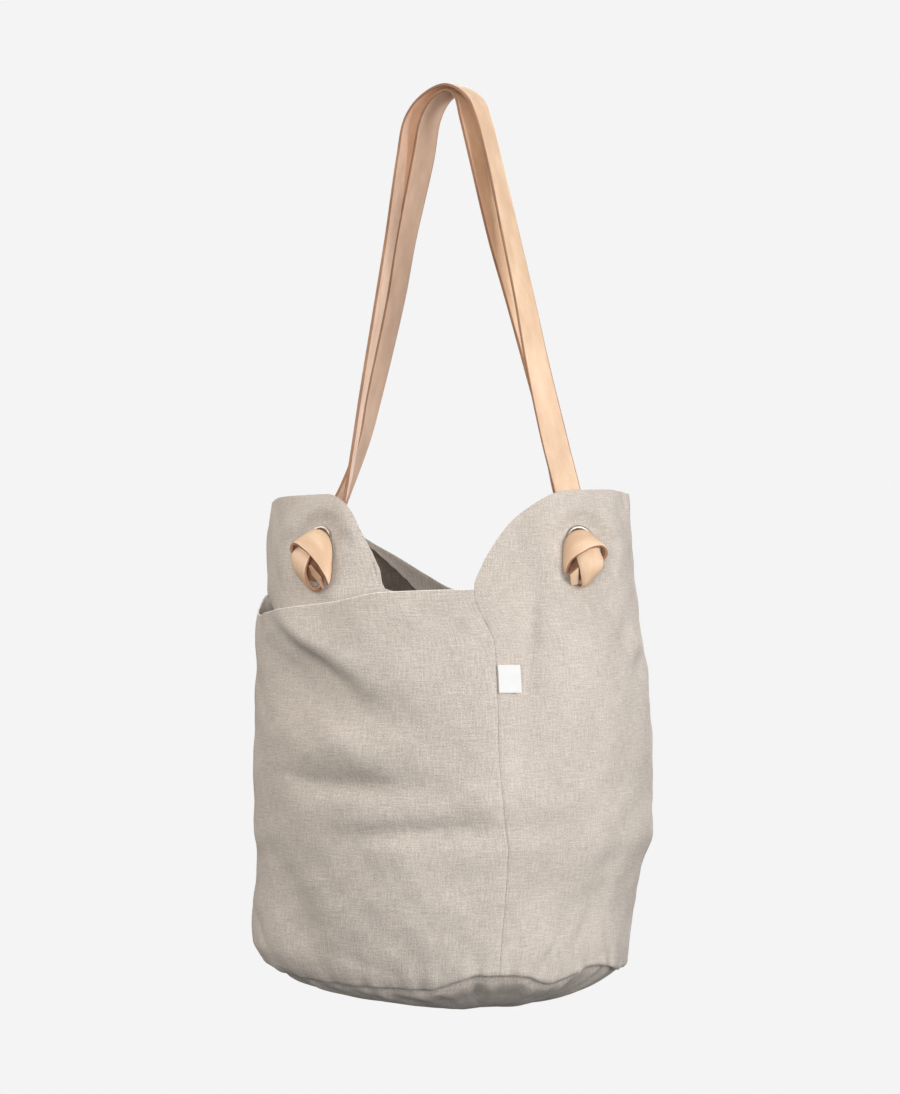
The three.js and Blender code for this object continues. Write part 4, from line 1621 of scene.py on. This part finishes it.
@dataclass
class ClothBase:
    """The oval bottom, which sags below its seam."""

    name: str
    materials: Sequence[bpy.types.Material]
    flat: Span
    area: float
    columns: int = 240
    rings: int = 44
    centre_x: float = 22.0
    tuck: float = 2.4
    sag: float = 33.0
    fullness: float = 2.8
    roll: float = 4.0
    thickness: float = 1.1
    piece: bpy.types.Object | None = field(default=None, init=False)

    HUB = 0.002
    GATHERS = ((1.0, 31.0, 0.7), (0.6, 17.0, 0.0))
    GATHER_HEIGHT = 1.1
    GATHER_START = (0.55, 0.85)
    GATHER_END = (0.9, 1.0)
    WAVE_HEIGHT = 0.5
    WAVE_LENGTHS = (13.0, 17.0)
    WAVE_PHASES = (0.8, 0.3)
    WAVE_FADE = 4
    ROLL_START = (0.75, 0.95)
    ROLL_END = (0.95, 1.0)

    def _relief(self, turn: Array, share: Array, level: Array) -> Array:
        """Gathers near the edge, waves in the middle and the roll below the seam.

        Args:
            turn: Angle of each column.
            share: Share of the way from the middle to the edge.
            level: Plan points.

        Returns:
            Upward shift in millimetres.
        """
        run = 2 * math.pi * turn * MM_PER_DEGREE
        gather = sum(high * np.sin(run / length + phase) for high, length, phase in self.GATHERS)
        gather = self.GATHER_HEIGHT * gather * smoothstep(*self.GATHER_START, share)
        gather = gather * (1 - smoothstep(*self.GATHER_END, share))
        waves = self.WAVE_HEIGHT * np.sin(level / self.WAVE_LENGTHS + self.WAVE_PHASES).prod(axis=-1)
        roll = smoothstep(*self.ROLL_START, share) - smoothstep(*self.ROLL_END, share)
        roll = self.roll * roll * np.abs(np.cos(np.radians(turn)))
        return gather + waves * (1 - share**self.WAVE_FADE) - roll

    def _underside(self) -> Array:
        """Points of the underside from its middle to its puckered edge.

        Returns:
            Points in millimetres, columns first.
        """
        turn = wrap_turn(np.linspace(0, FULL_TURN, self.columns + 1)[:, None])
        share = np.linspace(self.HUB, 1, self.rings + 1)[None, :]
        mean = float(BASE_SEAM.columns["height"].mean()) + self.tuck
        seam = Cloth.edge_height(turn, np.array(mean)) + self.tuck
        edge = Cloth.point(turn, seam, ClothPanel.detail(turn, seam) - BASE_INSET.read("inset", turn))
        middle = np.array([self.centre_x, 0.0])
        level = middle + (edge[:, :, :2] - middle) * share[..., None]
        height = mean + (seam - mean) * share**2 - self.sag * (1 - share**self.fullness)
        height = height + self._relief(turn, share, level)
        return np.concatenate([level, height[..., None]], axis=-1)

    def build(self) -> None:
        """Build the closed sheet."""
        under = self._underside()
        upper = under + np.array([0, 0, self.thickness])
        maps = under[..., :2]
        sheet = Sheet()
        low = sheet.add_points(under[:-1], maps[:-1])
        high = sheet.add_points(upper[:-1], maps[:-1])
        low = np.concatenate([low, low[:1]])
        high = np.concatenate([high, high[:1]])
        sheet.add_grid(low[::-1])
        # The upper face takes the darker inside linen, as painted shade of the interior
        sheet.add_grid(high, kind=ClothFace.INSIDE.value)
        sheet.add_quads(low[:-1, -1], low[1:, -1], high[1:, -1], high[:-1, -1])
        sheet.add_quads(low[1:, 0], low[:-1, 0], high[:-1, 0], high[1:, 0])
        self.piece = sheet.make(f"linen_{self.name}", self.materials)

    def dress(self) -> None:
        settle(self.piece, self.name)


@dataclass
class LabelTab:
    """Blank woven tab sewn into the front seam, which curls off the cloth towards its free side."""

    name: str
    finish: TapeFinish
    width: float = 15.5
    top: float = -418.0
    height: float = 19.4
    thickness: float = 0.7
    lift: float = 0.45
    curl: float = 2.0
    start: float = 0.9
    steps: int = 36
    piece: bpy.types.Object | None = field(default=None, init=False)

    RIPPLE_HEIGHT = 0.25
    RIPPLE_RATE = 9.0
    RIPPLE_PHASE = 2.0
    ROUND_SIDE = (0.94, 1.0)
    ROUND_ENDS = (0.96, 1.0)
    LEAST_HALF = 0.1

    def build(self) -> None:
        """Build the closed tab."""
        even = np.linspace(0, 1, self.steps + 1)
        share, level = np.meshgrid(even, even, indexing="ij")
        height = self.top - self.height * (1 - level)
        angle = Cloth.seam_angle(height) + (self.start + share * self.width) / MM_PER_DEGREE
        ripple = self.RIPPLE_HEIGHT * np.sin(self.RIPPLE_RATE * level + self.RIPPLE_PHASE) * share
        middle = self.lift + self.curl * share**2 + ripple + self.thickness / 2
        rounding = smoothstep(*self.ROUND_SIDE, share) + smoothstep(*self.ROUND_ENDS, np.abs(2 * level - 1))
        half = np.maximum(self.thickness / 2 * (1 - rounding / 2), self.LEAST_HALF)
        maps = np.stack([share * self.width, height], axis=-1)
        sheet = Sheet()
        front = sheet.add_points(Cloth.point(angle, height, middle + half), maps)
        back = sheet.add_points(Cloth.point(angle, height, middle - half), maps)
        sheet.add_grid(front)
        sheet.add_grid(back[:, ::-1])
        sheet.add_skirt(front, back)
        sheet.add_quads(front[:-1, -1], front[1:, -1], back[1:, -1], back[:-1, -1])
        self.piece = sheet.make("blank_label", [self.finish.make()])

    def dress(self) -> None:
        settle(self.piece, self.name)
        self.width * MM


@dataclass
class Eyelet:
    """Rounded metal ring clamped round a hole in an ear."""

    place: EyeletPlace
    material: bpy.types.Material
    bore: float = 8.7
    barrel: float = 9.5
    flange: float = 11.6
    edge: float = 0.95
    crown: float = 1.8
    sides: int = 72
    arc: int = 10
    piece: bpy.types.Object | None = field(default=None, init=False)

    MAP_STEP = 0.4
    CREASE = 50.0

    def _profile(self) -> Array:
        """Closed section of the ring as radius and height.

        Returns:
            The section's points, in order.
        """
        turn = np.linspace(0, math.pi, self.arc + 1)
        middle = (self.flange + self.bore) / 2
        half = (self.flange - self.bore) / 2
        height = self.edge + (self.crown - self.edge) * np.sin(turn)
        dome = np.stack([middle + half * np.cos(turn), height], axis=-1)
        neck = np.array([[self.barrel, -self.edge], [self.barrel, self.edge]])
        return np.concatenate([neck, dome, dome[::-1] * np.array([1, -1])])

    def build(self) -> None:
        """Turn the section about the eyelet's axis."""
        profile = self._profile()
        turn = np.linspace(0, 2 * math.pi, self.sides + 1)[:-1]
        radius = profile[None, :, 0]
        across = self.place.right * (np.cos(turn)[:, None] * radius)[..., None]
        upwards = self.place.up * (np.sin(turn)[:, None] * radius)[..., None]
        outwards = self.place.out * np.broadcast_to(profile[None, :, 1], across.shape[:2])[..., None]
        points = self.place.centre + across + upwards + outwards
        arc = turn[:, None] * self.flange
        length = np.arange(len(profile))[None, :] * self.MAP_STEP
        sheet = Sheet()
        ring = sheet.add_points(points, np.stack(np.broadcast_arrays(arc, length), axis=-1))
        ring = np.concatenate([ring, ring[:1]])
        ring = np.concatenate([ring, ring[:, :1]], axis=1)
        sheet.add_grid(ring)
        self.piece = sheet.make(f"ring_{self.place.name}", [self.material], self.CREASE)

    def dress(self) -> None:
        """Set the ring in the bag's place."""
        settle(self.piece, f"eyelet_{self.place.name}")


class BandLine:
    """Smooth centripetal line through points, read by its share of the points."""

    def __init__(self, points: Array) -> None:
        """Extend the line by one point at each end.

        Args:
            points: Points that the line passes through.
        """
        first = 2 * points[:1] - points[1:2]
        last = 2 * points[-1:] - points[-2:-1]
        self.points = np.concatenate([first, points, last])

    def at(self, share: Array) -> Array:
        """Read the line.

        Args:
            share: Shares of the way, 0 to 1.

        Returns:
            Points on the line.
        """
        spans = len(self.points) - 3
        place = np.clip(share, 0, 1) * spans
        low = np.minimum(place.astype(int), spans - 1)
        t = (place - low)[:, None]
        p0, p1, p2, p3 = (self.points[low + k] for k in range(4))
        pairs = ((p0, p1), (p1, p2), (p2, p3))
        d0, d1, d2 = (np.linalg.norm(b - a, axis=1, keepdims=True) ** 0.5 for a, b in pairs)
        start = ((p1 - p0) / d0 - (p2 - p0) / (d0 + d1) + (p2 - p1) / d1) * d1
        end = ((p2 - p1) / d1 - (p3 - p1) / (d1 + d2) + (p3 - p2) / d2) * d1
        return hermite(t, p1, p2, start, end)


@dataclass
class Band:
    """Flat leather band through rows of left, middle and right points, with cut edges and ends."""

    rows: Array
    steps: int
    thickness: float = 2.2
    across: int = 12
    margin: float = 0.035
    bevel: float = 0.62
    # Whether every face takes the dark edge leather, as painted shade in a knot's mouth
    paint_shade: bool = False

    PROBE = 1e-3

    def _middle(self, share: Array, across: Array) -> Array:
        """Middle surface of the band.

        Args:
            share: Shares of the run.
            across: Shares of the width.

        Returns:
            Points, run first.
        """
        left, middle, right = (BandLine(self.rows[:, k]).at(share)[:, None] for k in range(3))
        a = across[None, :, None]
        return left * (1 - a) * (1 - 2 * a) + middle * 4 * a * (1 - a) + right * a * (2 * a - 1)

    def add_to(self, sheet: Sheet) -> None:
        """Add the band to a mesh.

        Args:
            sheet: Mesh under construction.
        """
        count = (len(self.rows) - 1) * self.steps
        share = np.linspace(0, 1, count + 1)
        face = np.linspace(self.margin, 1 - self.margin, self.across + 1)
        size = len(face)
        loop = np.concatenate([face, [1, 1], face[::-1], [0, 0]])
        edge_lift = np.array([self.bevel, -self.bevel])
        lifts = np.concatenate([np.ones(size), edge_lift, -np.ones(size), -edge_lift])
        centre = self._middle(share, loop)
        ahead = self._middle(np.minimum(share + self.PROBE, 1), loop)
        behind = self._middle(np.maximum(share - self.PROBE, 0), loop)
        wider = self._middle(share, loop + self.PROBE)
        narrower = self._middle(share, loop - self.PROBE)
        normal = unit(np.cross(ahead - behind, wider - narrower))
        points = centre + normal * (lifts * self.thickness / 2)[None, :, None]
        run = travelled(centre[:, size // 2])
        girth = travelled(points[count // 2])
        maps = np.stack(np.broadcast_arrays(run[:, None], girth[None, :]), axis=-1)
        ring = sheet.add_points(points, maps)
        closed = np.concatenate([ring, ring[:, :1]], axis=1)
        edges = [LeatherFace.EDGE] * (len(edge_lift) + 1)
        kinds = [LeatherFace.GRAIN] * (size - 1) + edges + [LeatherFace.FLESH] * (size - 1) + edges
        # A knot's core is dark all over: painted shade in the knot's mouth
        if self.paint_shade:
            kinds = [LeatherFace.EDGE] * len(kinds)
        for k, kind in enumerate(kinds):
            sheet.add_grid(closed[:, k : k + 2], kind.value)
        for end, flip in ((0, False), (-1, True)):
            self._cap(sheet, ring[end], size, flip)

    @staticmethod
    def _cap(sheet: Sheet, loop: Array, size: int, flip: bool) -> None:
        """Close one end of the band.

        Args:
            sheet: Mesh under construction.
            loop: Point numbers round the end.
            size: How many of them lie on one face.
            flip: Whether the end looks along the run.
        """
        front = np.concatenate([loop[-1:], loop[: size + 1]])
        back = np.concatenate([loop[-2:-1], loop[size + 1 : 2 * size + 2][::-1]])
        a, b, c, d = front[:-1], front[1:], back[1:], back[:-1]
        if flip:
            a, b, c, d = d, c, b, a
        sheet.add_quads(a, b, c, d, LeatherFace.EDGE.value)


@dataclass(frozen=True)
class Shoulder:
    """Bend of a strap behind its ear: rise, depth, and shares of the lean and of the wall's turn."""

    rise: float = 17.0
    inward: float = 5.5
    inward_share: float = 0.25
    lean_share: float = 0.33
    wall_share: float = 0.85


@dataclass
class Strap:
    """A leather strap from the knot on one ear over the crown to the knot on the other."""

    name: str
    materials: Sequence[bpy.types.Material]
    width: float = 20.0
    rim_rise: float = 34.0
    rim_share: float = 0.2
    shoulder: Shoulder = Shoulder()
    leg_steps: int = 14
    knot_steps: int = 12
    piece: bpy.types.Object | None = field(default=None, init=False)

    CREASE = 40.0

    def _flat(self, centre: Array, widthways: Array) -> Array:
        """Left, middle and right points of a strap's row with a straight section."""
        half = widthways * self.width / 2
        return np.stack([centre - half, centre, centre + half])

    def _legs(self) -> list[Array]:
        """Rows of the free strap from ear to ear.

        Returns:
            Rows of left, middle and right points.
        """
        rows = []
        for x, y, z, turn in STRAP_LINES[self.name]:
            angle = math.radians(turn)
            widthways = np.array([math.sin(angle), math.cos(angle), 0.0])
            rows.append(self._flat(np.array([x, y, z], float), widthways))
        return rows

    def _end(self, place: EyeletPlace, mirror: int, leg: Array) -> list[Array]:
        """Rows from where the strap crosses the ear's top to where it comes out of the bore.

        Args:
            place: The eyelet.
            mirror: 1 on the right ear and -1 on the left ear.
            leg: Unit vector across the leg.

        Returns:
            Rows in order towards the knot.
        """
        bend = self.shoulder
        wall = place.right * mirror
        rim = place.place((place.lean, self.rim_rise, -place.inward))
        deep = bend.inward + place.inward * bend.inward_share
        low = place.place((place.lean * bend.lean_share, bend.rise, -deep))
        rows = [
            self._flat(rim, unit(leg + (wall - leg) * self.rim_share)),
            self._flat(low, unit(leg + (wall - leg) * bend.wall_share)),
        ]
        for row in NECK_ROWS:
            rows.append(np.stack([place.place((a * mirror, u, n)) for a, u, n in row]))
        return rows

    def _knot(self, sheet: Sheet, place: EyeletPlace) -> None:
        """Add the turns and the core of a knot.

        Args:
            sheet: Mesh under construction.
            place: The eyelet that the knot hangs from.
        """
        form = KNOTS[place.name]
        for turn in (form.hood, form.roll, form.tail, form.core):
            rows = np.array([[place.hang(point, form.turn) for point in row] for row in turn])
            run = np.cross(rows[1:, 1] - rows[:-1, 1], rows[1:, 2] - rows[1:, 0])
            if float((run @ place.out).sum()) < 0:
                rows = rows[:, ::-1]
            # The core band takes the dark edge leather on every face, as painted shade
            Band(rows, self.knot_steps, paint_shade=turn is form.core).add_to(sheet)

    def build(self) -> None:
        """Build the strap's band and its two knots as one piece."""
        legs = self._legs()
        left = PLACES[f"{self.name}_left"]
        right = PLACES[f"{self.name}_right"]
        left_rows = self._end(left, -1, unit(legs[0][2] - legs[0][0]))
        right_rows = self._end(right, 1, unit(legs[-1][2] - legs[-1][0]))
        sheet = Sheet()
        Band(np.array(left_rows[::-1] + legs + right_rows), self.leg_steps).add_to(sheet)
        for place in (left, right):
            self._knot(sheet, place)
        self.piece = sheet.make(f"leather_{self.name}", self.materials, self.CREASE)

    def dress(self) -> None:
        """Set the strap in the bag's place."""
        settle(self.piece, f"strap_{self.name}")


@dataclass(frozen=True)
class Lamp:
    """One soft square lamp that faces the bag, with its place and side in metres and its power in watts."""

    name: str
    place: Triple
    side: float
    power: float
    tint: Triple = (1.0, 1.0, 1.0)

    def build(self, target: Triple) -> None:
        """Add the lamp.

        Args:
            target: Point that the lamp faces.
        """
        light = bpy.data.lights.new(self.name, "AREA")
        light.color = self.tint
        light.size = self.side
        light.energy = self.power
        stand = bpy.data.objects.new(self.name, light)
        stand.location = self.place
        aim = Vector(target) - Vector(self.place)
        stand.rotation_euler = aim.to_track_quat("-Z", "Y").to_euler()
        bpy.context.scene.collection.objects.link(stand)


LAMPS = [
    Lamp("key", (2.2, -1.2, 0.3), side=1.6, power=58.0),
    Lamp("front", (0.0, -2.6, -0.1), side=1.4, power=36.0),
    Lamp("fill", (-2.15, -0.2, 1.0), side=1.6, power=40.0, tint=(1.0, 0.94, 0.86)),
    Lamp("top", (0.0, -0.3, 1.8), side=2.0, power=15.0),
    Lamp("back", (0.4, 2.1, 0.3), side=1.6, power=60.0),
    Lamp("under", (0.3, -1.2, -1.7), side=1.5, power=5.5),
]


@dataclass
class Studio:
    """Camera at the photograph's angle, soft light and a pale floor."""

    camera_place: Triple = (0.3447, -1.9701, -0.3353)
    camera_tilt: float = 90.0
    camera_turn: float = 10.0
    lens: float = 88.91
    sensor: float = 36.0
    surround: Colour = (0.905, 0.905, 0.905, 1.0)
    floor_height: float = -1.9
    floor_radius: float = 1.6
    floor_sides: int = 96
    target: Triple = (0.0, 0.0, -0.45)

    def build(self) -> None:
        """Make the camera, the surround, the lamps and the floor."""
        self._camera()
        self._surround()
        for lamp in LAMPS:
            lamp.build(self.target)
        self._floor()

    def _camera(self) -> None:
        """Add the level camera."""
        camera = bpy.data.cameras.new("camera")
        camera.lens = self.lens
        camera.sensor_width = self.sensor
        camera.sensor_fit = "AUTO"
        seen = bpy.data.objects.new("camera", camera)
        seen.location = self.camera_place
        seen.rotation_euler = (math.radians(self.camera_tilt), 0, math.radians(self.camera_turn))
        bpy.context.scene.collection.objects.link(seen)
        bpy.context.scene.camera = seen

    def _surround(self) -> None:
        """Set the plain surround, which the camera sees and which lights nothing."""
        scene = bpy.context.scene
        world = bpy.data.worlds.new("surround")
        world.use_nodes = True
        world.node_tree.nodes["Background"].inputs["Color"].default_value = self.surround
        scene.world = world
        world.cycles_visibility.diffuse = False
        world.cycles_visibility.glossy = False
        scene.view_settings.view_transform = "Standard"

    def _floor(self) -> None:
        """Add the floor well below the bag."""
        mesh = bpy.data.meshes.new("floor")
        turn = np.linspace(0, 2 * math.pi, self.floor_sides + 1)[:-1]
        ring = np.stack([np.cos(turn), np.sin(turn), 0 * turn], axis=-1) * self.floor_radius
        ring[:, 2] = self.floor_height
        mesh.from_pydata(ring.tolist(), [], [list(range(len(ring)))])
        mesh.materials.append(FloorFinish().make())
        floor = bpy.data.objects.new("floor", mesh)
        bpy.context.scene.collection.objects.link(floor)
        floor.visible_diffuse = False


def right_rim(angle: Array) -> Array:
    """Top edge of the right panel, the same at the back as at the front."""
    return RIGHT_RIM.read("height", np.minimum(angle, BACK_TURN - angle))


def cloth_pieces() -> list[Piece]:
    """List the cloth pieces of the bag.

    Returns:
        The pieces, in the order in which they are sewn.
    """
    linen = LinenFinish("linen", (0.41, 0.36, 0.312, 1.0), (0.68, 0.608, 0.545, 1.0)).make()
    # Darker linen for the inside faces of the panels and the base's upper face: painted shade of the bag's
    # interior, the same cloth as outside
    inner = LinenFinish("linen_inside_painted_shade", (0.29, 0.24, 0.205, 1.0), (0.5, 0.43, 0.37, 1.0)).make()
    # Paler linen for the pocket's inside face and rim: painted light on its shaded inner corner, not a
    # facing of another cloth
    facing = LinenFinish("linen_pocket_inside_painted_light", (0.74, 0.7, 0.67, 1.0), (0.96, 0.93, 0.9, 1.0)).make()
    right = ClothPanel(
        name="panel_right",
        side=Side.RIGHT,
        inset=0.0,
        relief=Cloth.no_relief,
        rim=right_rim,
        hem=RIGHT_HEM,
        materials=[linen, inner],
        flat=(0.31, 0.35),
        area=0.101,
    )
    left = ClothPanel(
        name="panel_left",
        side=Side.LEFT,
        inset=LEFT_INSET,
        relief=Cloth.left_relief,
        rim=partial(LEFT_RIM.read, "height"),
        hem=LEFT_HEM,
        materials=[linen, inner],
        flat=(0.53, 0.35),
        area=0.16,
    )
    pocket = ClothPanel(
        name="pocket",
        side=Side.LEFT,
        inset=0.0,
        relief=Cloth.pocket_relief,
        rim=partial(POCKET_RIM.read, "height"),
        hem=None,
        materials=[linen, facing],
        flat=(0.53, 0.28),
        area=0.142,
        rows=140,
    )
    base = ClothBase("base", [linen, inner], flat=(0.28, 0.2), area=0.044)
    return [right, left, pocket, base, LabelTab("label_tab", TapeFinish())]


def leather_materials() -> list[bpy.types.Material]:
    """Make the three faces of the leather, in the order of their numbers.

    Returns:
        Grain, flesh and cut edge.
    """
    grain = LeatherFinish(
        name="leather_grain",
        dark=(0.68, 0.45, 0.29, 1.0),
        light=(0.86, 0.64, 0.45, 1.0),
        roughness=0.5,
        grain=0.9,
    )
    flesh = LeatherFinish(
        name="leather_flesh",
        dark=(0.66, 0.45, 0.33, 1.0),
        light=(0.84, 0.61, 0.46, 1.0),
        roughness=0.8,
        grain=0.5,
    )
    # Dark cut edge of the leather; the knots' cores also wear it all over as painted shade
    edge = LeatherFinish(
        name="leather_edge_and_knot_shade",
        dark=(0.2, 0.095, 0.05, 1.0),
        light=(0.43, 0.23, 0.135, 1.0),
        roughness=0.65,
        grain=0.6,
        stripes=0.7,
    )
    return [grain.make(), flesh.make(), edge.make()]


def main() -> None:
    """Set the studio, then build and dress every piece."""
    logging.basicConfig(level=logging.INFO, format="%(name)s: %(message)s")
    Studio().build()
    pieces: list[Piece] = cloth_pieces()
    metal = MetalFinish().make()
    leather = leather_materials()
    pieces += [Eyelet(place, metal) for place in PLACES.values()]
    pieces += [Strap(name, leather) for name in STRAP_LINES]
    for piece in pieces:
        piece.build()
        piece.dress()


if __name__ == "__main__":
    main()
